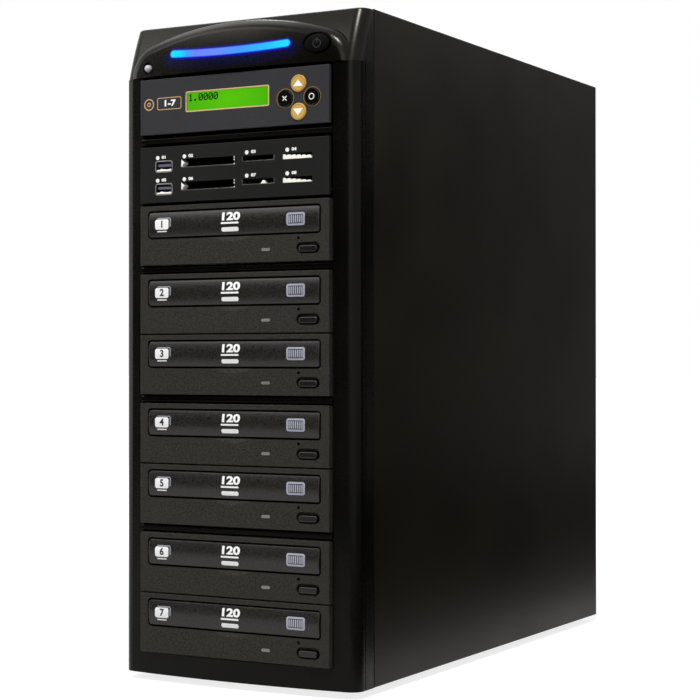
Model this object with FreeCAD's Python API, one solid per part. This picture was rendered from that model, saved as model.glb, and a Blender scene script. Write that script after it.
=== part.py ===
import FreeCAD, Part
import math
import os

# Desktop disc duplicator: a steel tower with seven optical drives, a card reader and a display panel.
# Millimetres. X is to the right seen from the front, the front faces -Y, Z is up and the floor is Z = 0.

Vector = FreeCAD.Vector
ALONG_X = Vector(1, 0, 0)
ALONG_Y = Vector(0, 1, 0)
ALONG_Z = Vector(0, 0, 1)

# Case
CASE_WIDTH = 184.0
CASE_TOP = 454.0
OVERALL_DEPTH = 452.0
CROWN_PROUD = 2.0
THUMBSCREW_PROUD = 6.0
FOOT_HEIGHT = 5.0
FOOT_RADIUS = 9.0
SHEET = 1.0
HALF_WIDTH = CASE_WIDTH / 2
FACE_Y = -OVERALL_DEPTH / 2 + CROWN_PROUD
REAR_Y = OVERALL_DEPTH / 2 - THUMBSCREW_PROUD
BACK_Y = OVERALL_DEPTH / 2
SEAM_Y = FACE_Y + 28.8
INNER_WALL_Y = REAR_Y - SHEET
PAN_HALF_WIDTH = 88.5
ROOF_HALF_WIDTH = 89.4
WALL_HALF_WIDTH = 88.2
FLANGE = 12.0
SIDE_EDGE = 0.7
HEM_HEIGHT = 8.0
HEM_THICKNESS = 1.2
HOOK_REACH = 5.0
HOOK_END = 20.0
LIP_X = 80.0
LIP_END = 3.0
VENT_ROWS = 7
VENT_FLOOR = 335.0
VENT_PITCH = 12.0
VENT_X = 27.0
VENT_WIDTH = 44.0
VENT_HEIGHT = 5.0

# Bays, counted from the lowest, two to a window of the front
BAY_WIDTH = 149.0
BAY_HEIGHT = 41.4
BAY_GAP = 0.4
BAR_GAP = 5.6
BAY_CLEARANCE = 0.3
FACE_MARGIN = 0.3
FACE_EDGE = 0.4
LOWEST_BAY = 20.0
DRIVE_COUNT = 7
READER_BAY = DRIVE_COUNT
DISPLAY_BAY = DRIVE_COUNT + 1
HALF_BAY = BAY_WIDTH / 2

# Front bezel
BEZEL_BOW_RADIUS = 700.0
BEZEL_APEX = 0.5
BEZEL_CORNER = 9.0
BAR_SETBACK = 2.4
BAR_DEPTH = 17.0
BAR_ROUND = 1.0
BAR_TRIM = 0.5
PILLAR_WALL = 2.7
PILLAR_FRONT = 13.0
GROOVE_Y = FACE_Y + 17.0
GROOVE = 0.9

# Crown
CROWN_BOW_RADIUS = 562.0
CROWN_LEAN = 5.0
CROWN_WALL = 3.5
ARCH_HALF_WIDTH = 87.5
ARCH_CREST = 33.5
ARCH_RADIUS = 239.0
ARCH_CORNER = 25.0
ARCH_ROUND = 9.0
ARCH_WALL = 4.0
SHOULDER_SETBACK = 6.0
SHOULDER_LEAN = 13.5
LIGHT_BAR_LENGTH = 95.0
LIGHT_BAR_HEIGHT = 5.6
LIGHT_BAR_SAG = 1.6
LIGHT_BAR_FLANGE = 2.0
LIGHT_BAR_X = -2.5
LIGHT_BAR_RISE = 14.0
POWER_X = 64.0
POWER_RISE = 12.6
POWER_WIDTH = 17.0
POWER_HEIGHT = 11.8
STATUS_X = -69.5
STATUS_RISE = 6.0
STATUS_RADIUS = 2.5
CROWN_BOARD_Y = FACE_Y + 14.0
EMITTERS = 6
EMITTER_PITCH = 14.0

# Optical drive
FACEPLATE = 5.0
DOOR_WIDTH = 133.8
DOOR_HEIGHT = 17.2
DOOR_FLOOR = 19.4
DOOR_BULGE = 0.8
DOOR_RADIUS = 27.0
DOOR_THICKNESS = 4.0
DOOR_CORNER = 1.6
DOOR_EDGE = 0.6
DOOR_GAP = 1.2
GAP = 0.5
DRIVE_WIDTH = 146.0
DRIVE_LENGTH = 190.0
EJECT_X = 58.3
EJECT_RISE = 8.5
EJECT_WIDTH = 13.6
EJECT_HEIGHT = 4.4
EJECT_CORNER = 1.8
EJECT_EDGE = 0.9
EJECT_PROUD = 0.6
EJECT_COLLAR = 2.0
EJECT_WELL = 3.0
EJECT_WELL_RISE = 9.0
EJECT_WELL_WIDTH = 17.6
EJECT_WELL_HEIGHT = 7.6
PINHOLE_X = 51.2
PINHOLE_RISE = 15.6
PINHOLE_RADIUS = 1.1
SCOOP_RADIUS = 34.0
SCOOP_DROP = 4.2
SCOOP_DEPTH = 1.6
LAMP_X = 26.2
LAMP_RISE = 8.7
LAMP_WIDTH = 6.6
LAMP_HEIGHT = 2.0
TRAY_WIDTH = 128.0
TRAY_LENGTH = 152.0
TRAY_FLOOR = 19.6
TRAY_TOP = 28.6
DISC_RECESS_RADIUS = 60.75
SMALL_RECESS_RADIUS = 40.75
DISC_CENTRE = 70.0
DISC_DEPTH = 4.8
SMALL_DEPTH = 1.4
TRAY_EYE_RADIUS = 18.0
TRAY_SLOT_LENGTH = 56.0
TRAY_CORNER = 10.0
DECK_HALF_WIDTH = 58.0
DECK_HEIGHT = 11.0
DECK_Y = (FACE_Y + 22.0, FACE_Y + 168.0)
SPINDLE_RADIUS = 7.4
SPINDLE_HEIGHT = 5.5

# Display panel
PANEL_THICKNESS = 3.0
PANEL_MARGINS = (1.5, 1.8)
BAY_TRAY_Y = (FACE_Y + 14.0, FACE_Y + 150.0)
CONTROLLER_STANDOFFS = ((-60, 35), (60, 35), (-60, 140), (60, 140))
CONTROLLER_HEIGHT = 8.0
CONTROLLER_Y = (FACE_Y + 28.0, FACE_Y + 146.0)
KEY_BOARD_Y = FACE_Y + PANEL_THICKNESS + 5.0
DISPLAY_X = -4.1
DISPLAY_RISE = 22.4
DISPLAY_WIDTH = 64.6
DISPLAY_HEIGHT = 12.7
KEY_RADIUS = 5.7
KEYPAD_X = 51.4
KEYPAD_RISE = 19.3
KEY_STEP_X = 10.15
KEY_STEP_Z = 9.3

# Card reader: each port has a column, a rise from its row, the mouth's size and its housing
READER_ROWS = (12.0, 27.6)
READER_MARGINS = (1.4, 1.5)
READER_STANDOFFS = ((-67, 24), (67, 24), (-67, 62), (67, 62))
PORTS = {
    "usb": {"x": -55.0, "lift": -1.3, "mouth": (12.9, 6.5), "housing": (14.2, 8.2), "depth": 18.0},
    "large": {"x": -19.4, "lift": 0.0, "mouth": (43.0, 6.0), "housing": (48.0, 8.4), "depth": 44.0},
    "medium": {"x": 20.2, "lift": 0.5, "mouth": (25.2, 3.9), "housing": (29.0, 9.4), "depth": 33.0},
    "small": {"x": 50.2, "lift": 0.5, "mouth": (22.6, 3.9), "housing": (26.0, 9.4), "depth": 33.0},
}
READER_LAMP_X = (-59.8, -38.0, 11.6, 42.8)
READER_LAMP_LIFT = 4.7
READER_LAMP_RADIUS = 1.4
USB_CORNER = 1.8
USB_TONGUE = (10.6, 1.8)
SOCKET_SEAT = -4.2
READER_BOARD_Y = FACE_Y + 19.0

# Power supply and fans
SUPPLY_WIDTH = 150.0
SUPPLY_HEIGHT = 86.0
SUPPLY_LENGTH = 140.0
SUPPLY_FLOOR = FOOT_HEIGHT + SHEET
SUPPLY_SCREW_X = (-72.2, 70.5)
SUPPLY_SCREW_INSET = 8.0
SUPPLY_CUTOUT_X = (-69.0, 66.0)
SUPPLY_CUTOUT_INSET = 2.5
SUPPLY_VENTS = 9
SUPPLY_VENT_PITCH = 12.0
FAN_SIZE = 80.0
FAN_DEPTH = 25.0
FAN_BORE = 38.5
FAN_HUB = 17.0
FAN_PITCH = 35.75
FAN_TIP = 36.6
FAN_BLADE_PITCH = 38.0
BLADES = 7
WIRE = 1.6
FANS = {
    "upper_fan": {"x": 0.0, "z": 265.0, "wall": REAR_Y},
    "lower_fan": {"x": 0.0, "z": 165.0, "wall": REAR_Y},
    "psu_fan": {"x": -28.0, "z": SUPPLY_FLOOR + SUPPLY_HEIGHT / 2, "wall": INNER_WALL_Y},
}
INLET_X = 46.0
INLET_Z = SUPPLY_FLOOR + 29.0
SWITCH_Z = SUPPLY_FLOOR + 59.0
INLET_FLANGE = (30.0, 2.0)
INLET_BODY = (25.6, 22.0)
INLET_MOUTH = (12.0, 8.2)
INLET_KEY = 4.0
INLET_DEPTH = 19.0
INLET_PIN = (2.0, 4.0)
INLET_PINS = ((-7.0, -2.0), (7.0, -2.0), (0.0, 2.0))
ROCKER_WELL = (12.4, 19.4)
ROCKER_WIDTH = 11.6
ROCKER_TILT = 9.0
ROCKER_PIVOT_Y = INNER_WALL_Y - 5.0

# Loose fittings
SCREW_HEAD_RADIUS = 3.0
SCREW_HEAD = 2.0
SCREW_SHANK_RADIUS = 1.5
CAGE_X = DRIVE_WIDTH / 2
CAGE_FRONT = SEAM_Y
CAGE_LENGTH = 155.0
CAGE_FOLD_X = 86.0
CAGE_EAR_X = 90.5
CAGE_SLOT_Y = (FACE_Y + 55.0, FACE_Y + 135.0)
CAGE_SLOT_RISE = 10.0
CAGE_SLOT_LENGTH = 9.0
CAGE_SLOT_HEIGHT = 3.6
THUMBSCREW_X = 85.0
THUMBSCREW_HEIGHTS = (130.0, 390.0)
THUMBSCREW_RADIUS = 5.0
THUMBSCREW_SHANK_RADIUS = 1.7
THUMBSCREW_SHANK = 8.0
THUMBSCREW_COLLAR_RADIUS = 4.2
THUMBSCREW_COLLAR = 1.2
THUMBSCREW_EDGE = 0.5
DATA_LOOM_X = -30.0
POWER_LOOM_X = 30.0
LOOM_Y = FACE_Y + DRIVE_LENGTH + 26.0


def bay_floor(bay):
    """Height of a bay's floor, with a bar of the bezel above every second bay."""
    bars = bay // 2
    return LOWEST_BAY + bay * (BAY_HEIGHT + BAY_GAP) + bars * (BAR_GAP - BAY_GAP)


CROWN_FLOOR = bay_floor(DISPLAY_BAY) + BAY_HEIGHT + 2 * BAY_CLEARANCE


def block(x, y, z):
    """A box from three (low, high) ranges."""
    return Part.makeBox(x[1] - x[0], y[1] - y[0], z[1] - z[0], Vector(x[0], y[0], z[0]))


def centred(middle, size):
    """The (low, high) range of a size about its middle."""
    return (middle - size / 2, middle + size / 2)


def rod(start, direction, radius, length):
    """A cylinder from its start along a direction."""
    return Part.makeCylinder(radius, length, start, direction)


def edges_along(shape, direction):
    """The straight edges of a shape that run along a direction."""
    found = []
    for edge in shape.Edges:
        if edge.Curve.TypeId == "Part::GeomLine" and abs(edge.Curve.Direction.dot(direction)) > 0.999:
            found.append(edge)
    return found


def edges_at(shape, axis, value):
    """The edges of a shape whose whole length lies at one value of x, y or z."""
    found = []
    for edge in shape.Edges:
        low = getattr(edge.BoundBox, axis.upper() + "Min")
        high = getattr(edge.BoundBox, axis.upper() + "Max")
        if abs(low - value) < 1e-4 and abs(high - value) < 1e-4:
            found.append(edge)
    return found


def rounded_plate(x, y, z, radius):
    """A plate that faces Y, with its four corners rounded."""
    plate = block(x, y, z)
    return plate.makeFillet(radius, edges_along(plate, ALONG_Y))


def stadium(x, z, width, height, y):
    """A bar with round ends that faces Y."""
    radius = height / 2
    half = width / 2 - radius
    top_left = Vector(x - half, y[0], z + radius)
    top_right = Vector(x + half, y[0], z + radius)
    low_right = Vector(x + half, y[0], z - radius)
    low_left = Vector(x - half, y[0], z - radius)
    outline = Part.Wire([
        Part.LineSegment(top_left, top_right).toShape(),
        Part.Arc(top_right, Vector(x + width / 2, y[0], z), low_right).toShape(),
        Part.LineSegment(low_right, low_left).toShape(),
        Part.Arc(low_left, Vector(x - width / 2, y[0], z), top_left).toShape(),
    ])
    return Part.Face(outline).extrude(Vector(0, y[1] - y[0], 0))


def oval(x, z, width, height, y):
    """An elliptical bar that faces Y."""
    face = Part.Face(Part.Wire(Part.Ellipse(Vector(0, 0, 0), width / 2, height / 2).toShape()))
    face.rotate(Vector(0, 0, 0), ALONG_X, 90)
    face.translate(Vector(x, y[0], z))
    return face.extrude(Vector(0, y[1] - y[0], 0))


def prism_x(points, x):
    """A prism along X from an outline of (y, z) points."""
    corners = [Vector(x[0], y, z) for y, z in points]
    outline = Part.makePolygon(corners + corners[:1])
    return Part.Face(outline).extrude(Vector(x[1] - x[0], 0, 0))


def mirrored(shape):
    """The same shape on the other side of the case's middle plane."""
    return shape.mirror(Vector(0, 0, 0), ALONG_X)


def pair(shape):
    """A shape and its mirror image."""
    return [shape, mirrored(shape)]


def screw(tip, axis, shank):
    """A screw with a tapered head: tip is the shank's end, and the head sits on its far end."""
    head = Part.makeCone(SCREW_HEAD_RADIUS, SCREW_HEAD_RADIUS * 0.7, SCREW_HEAD, tip + axis * shank, axis)
    return head.fuse(rod(tip, axis, SCREW_SHANK_RADIUS, shank))


def export(node, shapes):
    """Write one node, from one solid or a list of separate solids."""
    shape = shapes
    if isinstance(shapes, list):
        shape = Part.makeCompound(shapes)
    if not shape.isValid():
        print("not valid:", node)
    shape.exportStep(os.path.join("parts", node + ".step"))


# Front bezel and crown


def front_bezel():
    """Moulded frame of the front: bowed in plan, with a window for each pair of bays."""
    low_edge = FOOT_HEIGHT
    body = block((-HALF_WIDTH, HALF_WIDTH), (FACE_Y, SEAM_Y), (low_edge, CROWN_FLOOR))
    apex = FACE_Y + BEZEL_APEX
    bow = rod(Vector(0, apex + BEZEL_BOW_RADIUS, low_edge), ALONG_Z, BEZEL_BOW_RADIUS, CROWN_FLOOR - low_edge)
    body = body.common(bow)
    front_corners = [edge for edge in edges_along(body, ALONG_Z) if edge.CenterOfMass.y < FACE_Y + 15]
    body = body.makeFillet(BEZEL_CORNER, front_corners)

    opening = (-HALF_BAY - BAY_CLEARANCE, HALF_BAY + BAY_CLEARANCE)
    window_floors = []
    for lower in range(0, DISPLAY_BAY + 1, 2):
        upper = min(lower + 1, DISPLAY_BAY)
        floor = bay_floor(lower) - BAY_CLEARANCE
        ceiling = bay_floor(upper) + BAY_HEIGHT + BAY_CLEARANCE
        if upper == DISPLAY_BAY:
            ceiling = CROWN_FLOOR
        window_floors.append(floor)
        body = body.cut(block(opening, (FACE_Y - 1, SEAM_Y + 1), (floor, ceiling)))
    bar_front = FACE_Y + BAR_SETBACK
    for floor in window_floors[1:]:
        below = floor - BAR_GAP + 2 * BAY_CLEARANCE
        body = body.cut(block(opening, (FACE_Y - 1, SEAM_Y + 1), (below, floor)))
        bar = block(opening, (bar_front, bar_front + BAR_DEPTH), (below + BAR_TRIM, floor - BAR_TRIM))
        front_edges = [edge for edge in edges_along(bar, ALONG_X) if edge.CenterOfMass.y < bar_front + 1]
        body = body.fuse(bar.makeFillet(BAR_ROUND, front_edges))

    hollow_x = (HALF_BAY + BAY_CLEARANCE + PILLAR_WALL, HALF_WIDTH - PILLAR_WALL)
    hollow_z = (low_edge + PILLAR_WALL, CROWN_FLOOR - PILLAR_WALL)
    hollow = block(hollow_x, (FACE_Y + PILLAR_FRONT, SEAM_Y + 1), hollow_z)
    groove = block((HALF_WIDTH - GROOVE, HALF_WIDTH + 1), centred(GROOVE_Y, GROOVE), (0, CROWN_FLOOR + 1))
    sill_hollow = block((-70, 70), (FACE_Y + 5, SEAM_Y + 1), (low_edge + PILLAR_WALL, LOWEST_BAY - 3))
    return body.cut(pair(hollow) + pair(groove) + [sill_hollow])


def arch(inset, y):
    """The crown's arch outline, one crest arc and two corner arcs, as a prism along Y."""
    crest_radius = ARCH_RADIUS - inset
    corner_radius = ARCH_CORNER - inset
    floor = CROWN_FLOOR + inset
    crest_centre = CROWN_FLOOR + ARCH_CREST - ARCH_RADIUS
    corner_x = ARCH_HALF_WIDTH - ARCH_CORNER
    corner_z = crest_centre + math.sqrt((ARCH_RADIUS - ARCH_CORNER) ** 2 - corner_x ** 2)
    lean = math.atan2(corner_x, corner_z - crest_centre)

    def corner_point(angle):
        return corner_x + corner_radius * math.sin(angle), corner_z + corner_radius * math.cos(angle)

    foot_angle = math.acos((floor - corner_z) / corner_radius)
    start_x, start_z = corner_point(lean)
    middle_x, middle_z = corner_point((lean + foot_angle) / 2)
    foot_x, foot_z = corner_point(foot_angle)
    front = y[0]
    shoulder_left = Vector(-start_x, front, start_z)
    shoulder_right = Vector(start_x, front, start_z)
    foot_left = Vector(-foot_x, front, foot_z)
    foot_right = Vector(foot_x, front, foot_z)
    outline = Part.Wire([
        Part.Arc(foot_left, Vector(-middle_x, front, middle_z), shoulder_left).toShape(),
        Part.Arc(shoulder_left, Vector(0, front, crest_centre + crest_radius), shoulder_right).toShape(),
        Part.Arc(shoulder_right, Vector(middle_x, front, middle_z), foot_right).toShape(),
        Part.LineSegment(foot_right, foot_left).toShape(),
    ])
    return Part.Face(outline).extrude(Vector(0, y[1] - y[0], 0))


def belly(offset):
    """The crown's double-curved front, moved back by an offset: a leaning arc turned about an upright axis."""
    front = FACE_Y - CROWN_PROUD + offset
    back = FACE_Y + 45
    low = CROWN_FLOOR - 1
    high = CASE_TOP + 1
    middle = (low + high) / 2
    profile = Part.Face(Part.Wire([
        Part.Arc(Vector(0, front, low), Vector(0, front + CROWN_LEAN / 4, middle),
                 Vector(0, front + CROWN_LEAN, high)).toShape(),
        Part.LineSegment(Vector(0, front + CROWN_LEAN, high), Vector(0, back, high)).toShape(),
        Part.LineSegment(Vector(0, back, high), Vector(0, back, low)).toShape(),
        Part.LineSegment(Vector(0, back, low), Vector(0, front, low)).toShape(),
    ]))
    axis_point = Vector(0, FACE_Y - CROWN_PROUD + CROWN_BOW_RADIUS, 0)
    half_turn = 10.5
    profile.rotate(axis_point, ALONG_Z, -half_turn)
    return profile.revolve(axis_point, ALONG_Z, 2 * half_turn)


def crown_shoulders():
    """The leaning front behind the arch, rounded at both ends and along its top."""
    front = FACE_Y + SHOULDER_SETBACK
    top = front + SHOULDER_LEAN
    middle = (CROWN_FLOOR + CASE_TOP) / 2
    left = -HALF_WIDTH
    profile = Part.Face(Part.Wire([
        Part.Arc(Vector(left, front, CROWN_FLOOR), Vector(left, front + SHOULDER_LEAN * 0.44, middle),
                 Vector(left, top, CASE_TOP)).toShape(),
        Part.LineSegment(Vector(left, top, CASE_TOP), Vector(left, SEAM_Y, CASE_TOP)).toShape(),
        Part.LineSegment(Vector(left, SEAM_Y, CASE_TOP), Vector(left, SEAM_Y, CROWN_FLOOR)).toShape(),
        Part.LineSegment(Vector(left, SEAM_Y, CROWN_FLOOR), Vector(left, front, CROWN_FLOOR)).toShape(),
    ]))
    body = profile.extrude(Vector(CASE_WIDTH, 0, 0))
    ends = [edge for edge in body.Edges if edge.Curve.TypeId == "Part::GeomCircle"]
    body = body.makeFillet(BEZEL_CORNER, ends)
    top_edges = [edge for edge in edges_at(body, "z", CASE_TOP) if edge.CenterOfMass.y < SEAM_Y - 1]
    return body.makeFillet(2.0, top_edges)


def crown_arch():
    """The arched brow that carries the light bar, with its rim rounded."""
    body = arch(0, (FACE_Y - 10, FACE_Y + 24)).common(belly(0))
    front_face = min(body.Faces, key=lambda face: face.CenterOfMass.y)
    rim = [edge for edge in front_face.Edges if edge.BoundBox.ZMax > CROWN_FLOOR + 1]
    return body.makeFillet(ARCH_ROUND, rim)


def crown():
    """Moulded top of the front: arched brow on leaning shoulders, hollow from behind."""
    body = crown_shoulders().fuse(crown_arch())
    body = body.cut(arch(ARCH_WALL, (FACE_Y - 10, SEAM_Y + 1)).common(belly(CROWN_WALL)))
    seat = 0.15
    light_slot = light_bar_prism(seat)
    power_z = CROWN_FLOOR + POWER_RISE
    through = (FACE_Y - 10, FACE_Y + 20)
    power_hole = oval(POWER_X, power_z, POWER_WIDTH + 2 * GAP, POWER_HEIGHT + 2 * GAP, through)
    power_dish = oval(POWER_X, power_z, POWER_WIDTH + 4, POWER_HEIGHT + 3.4, through).cut(belly(1.8))
    status_start = Vector(STATUS_X, through[0], CROWN_FLOOR + STATUS_RISE)
    status_hole = rod(status_start, ALONG_Y, STATUS_RADIUS + seat, 30)
    status_dish = rod(status_start, ALONG_Y, STATUS_RADIUS + 2, 30).cut(belly(1.0))
    body = body.cut([light_slot, power_hole, power_dish, status_hole, status_dish])
    posts = []
    for x in (-55, 53):
        posts.append(rod(Vector(x, FACE_Y + 3, CROWN_FLOOR + 8.2), ALONG_Y, 2.2, CROWN_BOARD_Y - FACE_Y - 3))
    return body.fuse(posts)


def light_bar_prism(growth):
    """The light bar's outline, a round-ended bar that sags in the middle, as a prism through the crown."""
    half = (LIGHT_BAR_LENGTH - LIGHT_BAR_HEIGHT) / 2
    radius = LIGHT_BAR_HEIGHT / 2 + growth
    bend = (half ** 2 + LIGHT_BAR_SAG ** 2) / (2 * LIGHT_BAR_SAG)
    swing = math.asin(half / bend)
    front = FACE_Y - 10
    centre = Vector(LIGHT_BAR_X, front, CROWN_FLOOR + LIGHT_BAR_RISE - LIGHT_BAR_SAG + bend)

    def along(reach, angle):
        return centre + Vector(reach * math.sin(angle), 0, -reach * math.cos(angle))

    def tip(side):
        return along(bend, side * swing) + Vector(side * radius * math.cos(swing), 0, radius * math.sin(swing))

    upper = bend - radius
    lower = bend + radius
    outline = Part.Wire([
        Part.Arc(along(upper, -swing), along(upper, 0), along(upper, swing)).toShape(),
        Part.Arc(along(upper, swing), tip(1), along(lower, swing)).toShape(),
        Part.Arc(along(lower, swing), along(lower, 0), along(lower, -swing)).toShape(),
        Part.Arc(along(lower, -swing), tip(-1), along(upper, -swing)).toShape(),
    ])
    return Part.Face(outline).extrude(Vector(0, 30, 0))


def light_bar():
    """Clear bar that follows the crown's curve, with a flange that seats on the wall's inner face."""
    proud = 0.5
    flange = 1.5
    lens = light_bar_prism(0).common(belly(-proud)).cut(belly(CROWN_WALL))
    rim = light_bar_prism(LIGHT_BAR_FLANGE).common(belly(CROWN_WALL)).cut(belly(CROWN_WALL + flange))
    return lens.fuse(rim)


def power_button():
    """Oval push button, crowned like the brow around it, with a collar that keeps it in."""
    z = CROWN_FLOOR + POWER_RISE
    stem_end = FACE_Y + 11.0
    body = oval(POWER_X, z, POWER_WIDTH, POWER_HEIGHT, (FACE_Y - 10, stem_end)).common(belly(-0.6))
    collar_y = (FACE_Y + 9.0, stem_end)
    return body.fuse(oval(POWER_X, z, POWER_WIDTH + 2, POWER_HEIGHT + 2, collar_y))


def crown_board():
    """Circuit board behind the crown: emitters for the light bar and the power switch."""
    board = block((-73, 70), (CROWN_BOARD_Y, CROWN_BOARD_Y + WIRE), (CROWN_FLOOR + 6, CROWN_FLOOR + 16.5))
    emitters = []
    middle = CROWN_FLOOR + LIGHT_BAR_RISE
    for index in range(EMITTERS):
        x = LIGHT_BAR_X + (index - (EMITTERS - 1) / 2) * EMITTER_PITCH
        emitters.append(block(centred(x, 5), (CROWN_BOARD_Y - 3, CROWN_BOARD_Y), centred(middle, 3)))
    switch_z = CROWN_FLOOR + POWER_RISE - 2
    switch = block(centred(POWER_X, 7), (CROWN_BOARD_Y - 0.8, CROWN_BOARD_Y), centred(switch_z, 7))
    return board.fuse(emitters + [switch])


def status_lamp():
    """Round lamp at the left end of the crown, seated on the board behind it."""
    z = CROWN_FLOOR + STATUS_RISE
    front = FACE_Y + 2.6
    body = rod(Vector(STATUS_X, front, z), ALONG_Y, STATUS_RADIUS, CROWN_BOARD_Y - front)
    dome = Part.makeSphere(STATUS_RADIUS, Vector(STATUS_X, front, z))
    return body.fuse(dome)


# Optical drives


def bay_face(floor, thickness, margins):
    """Plate that fills the front of a bay, short of its floor and ceiling by the margins, with eased edges."""
    x = (-HALF_BAY + FACE_MARGIN, HALF_BAY - FACE_MARGIN)
    z = (floor + margins[0], floor + BAY_HEIGHT - margins[1])
    plate = block(x, (FACE_Y, FACE_Y + thickness), z)
    return plate.makeFillet(FACE_EDGE, edges_at(plate, "y", FACE_Y))


def drive_faceplate(floor):
    """Front of one drive, with its door opening, button well, lamp window, pinhole and finger scoop."""
    plate = bay_face(floor, FACEPLATE, (FACE_MARGIN, FACE_MARGIN))
    through = (FACE_Y - 5, FACE_Y + FACEPLATE + 1)
    door_z = (floor + DOOR_FLOOR - DOOR_GAP, floor + DOOR_FLOOR + DOOR_HEIGHT + DOOR_GAP)
    door_hole = rounded_plate(centred(0, DOOR_WIDTH + 2 * DOOR_GAP), through, door_z, DOOR_CORNER + DOOR_GAP)
    well_y = (through[0], FACE_Y + EJECT_WELL)
    well = stadium(EJECT_X, floor + EJECT_WELL_RISE, EJECT_WELL_WIDTH, EJECT_WELL_HEIGHT, well_y)
    button_z = centred(floor + EJECT_RISE, EJECT_HEIGHT + GAP)
    button_hole = rounded_plate(centred(EJECT_X, EJECT_WIDTH + GAP), through, button_z, EJECT_CORNER + GAP / 2)
    lamp_hole = stadium(LAMP_X, floor + LAMP_RISE, LAMP_WIDTH + 0.2, LAMP_HEIGHT + 0.2, through)
    pinhole = rod(Vector(PINHOLE_X, through[0], floor + PINHOLE_RISE), ALONG_Y, PINHOLE_RADIUS, FACEPLATE + 6)
    scoop_axis = Vector(0, FACE_Y, floor + DOOR_FLOOR - SCOOP_DROP + SCOOP_RADIUS)
    scoop = Part.makeCone(SCOOP_RADIUS, SCOOP_RADIUS - SCOOP_DROP, SCOOP_DEPTH, scoop_axis, ALONG_Y)
    below_door = block(centred(0, DOOR_WIDTH), (FACE_Y - 1, FACE_Y + SCOOP_DEPTH), (floor, floor + DOOR_FLOOR))
    scoop = scoop.common(below_door)
    return plate.cut([door_hole, well, button_hole, lamp_hole, pinhole, scoop])


def drive_case(floor):
    """Folded steel case of one drive, open to the front, with its two rear sockets."""
    x = centred(0, DRIVE_WIDTH)
    y = (FACE_Y + FACEPLATE, FACE_Y + DRIVE_LENGTH)
    z = (floor + 0.2, floor + BAY_HEIGHT - 0.2)
    shell = block(x, y, z)
    inside = block((x[0] + SHEET, x[1] - SHEET), (y[0] - 1, y[1] - SHEET), (z[0] + SHEET, z[1] - SHEET))
    sockets = []
    for socket_x in (DATA_LOOM_X, POWER_LOOM_X):
        sockets.append(block(centred(socket_x, 18), (y[1], y[1] + 4), centred(floor + 12, 8)))
    return shell.cut(inside).fuse(sockets)


def drive_deck(floor):
    """Loader deck on the case's floor: a plate with the spindle hub and the pickup on its sled."""
    low = floor + 0.2 + SHEET
    top = low + DECK_HEIGHT
    sled_floor = low + 5
    centre_y = FACE_Y + DOOR_THICKNESS + DISC_CENTRE
    deck = block((-DECK_HALF_WIDTH, DECK_HALF_WIDTH), DECK_Y, (low, top))
    sled_slot = block(centred(0, 44), (centre_y + 14, centre_y + 70), (sled_floor, top + 1))
    spindle = rod(Vector(0, centre_y, top), ALONG_Z, SPINDLE_RADIUS, SPINDLE_HEIGHT)
    pickup = block(centred(0, 38), (centre_y + 22, centre_y + 50), (sled_floor, top + 1))
    return deck.cut(sled_slot).fuse([spindle, pickup])


def drive_lamp(floor):
    """Light pipe of one drive, with a flange behind the faceplate."""
    z = floor + LAMP_RISE
    seat = FACE_Y + FACEPLATE
    pipe = stadium(LAMP_X, z, LAMP_WIDTH, LAMP_HEIGHT, (FACE_Y - 0.2, seat))
    flange = block(centred(LAMP_X, LAMP_WIDTH + 2), (seat, seat + 1.5), centred(z, LAMP_HEIGHT + 2))
    return pipe.fuse(flange)


def disc_tray(floor):
    """Moulded tray with the two stepped disc recesses and the slot for spindle and pickup."""
    front = FACE_Y + DOOR_THICKNESS
    low = floor + TRAY_FLOOR
    top = floor + TRAY_TOP
    body = block(centred(0, TRAY_WIDTH), (front, front + TRAY_LENGTH), (low, top))
    back_corners = [edge for edge in edges_along(body, ALONG_Z) if edge.CenterOfMass.y > front + 1]
    body = body.makeFillet(TRAY_CORNER, back_corners)
    centre = Vector(0, front + DISC_CENTRE, 0)
    recess_floor = top - DISC_DEPTH
    small_floor = recess_floor - SMALL_DEPTH
    recess = rod(centre + ALONG_Z * recess_floor, ALONG_Z, DISC_RECESS_RADIUS, DISC_DEPTH + 1)
    small = rod(centre + ALONG_Z * small_floor, ALONG_Z, SMALL_RECESS_RADIUS, DISC_DEPTH + 2)
    through = (low - 1, top + 1)
    eye = rod(centre + ALONG_Z * through[0], ALONG_Z, TRAY_EYE_RADIUS, through[1] - through[0])
    slot = block(centred(0, 2 * TRAY_EYE_RADIUS), (centre.y, centre.y + TRAY_SLOT_LENGTH), through)
    notch_floor = recess_floor + 1.5
    thumb_notches = []
    for x in (-DISC_RECESS_RADIUS, DISC_RECESS_RADIUS):
        thumb_notches.append(block(centred(x, 16), centred(centre.y, 30), (notch_floor, top + 1)))
    rib_y = (front + 3, front + TRAY_LENGTH - 8)
    underside = block(centred(0, TRAY_WIDTH - 16), rib_y, (low - 1, low + 1))
    rack = block(centred(-47, 6), rib_y, (low - 0.2, low + 1))
    return body.cut([recess, small, eye, slot, underside] + thumb_notches).fuse(rack)


def tray_door(floor):
    """Door on the tray's front: rounded corners, a crowned face and eased edges."""
    z = (floor + DOOR_FLOOR, floor + DOOR_FLOOR + DOOR_HEIGHT)
    front = FACE_Y - DOOR_BULGE
    panel = rounded_plate(centred(0, DOOR_WIDTH), (front - 1, FACE_Y + DOOR_THICKNESS), z, DOOR_CORNER)
    middle = (z[0] + z[1]) / 2
    crowning = rod(Vector(-HALF_BAY, front + DOOR_RADIUS, middle), ALONG_X, DOOR_RADIUS, BAY_WIDTH)
    door = panel.common(crowning)
    face = min(door.Faces, key=lambda side: side.CenterOfMass.y)
    return door.makeFillet(DOOR_EDGE, face.Edges)


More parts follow.
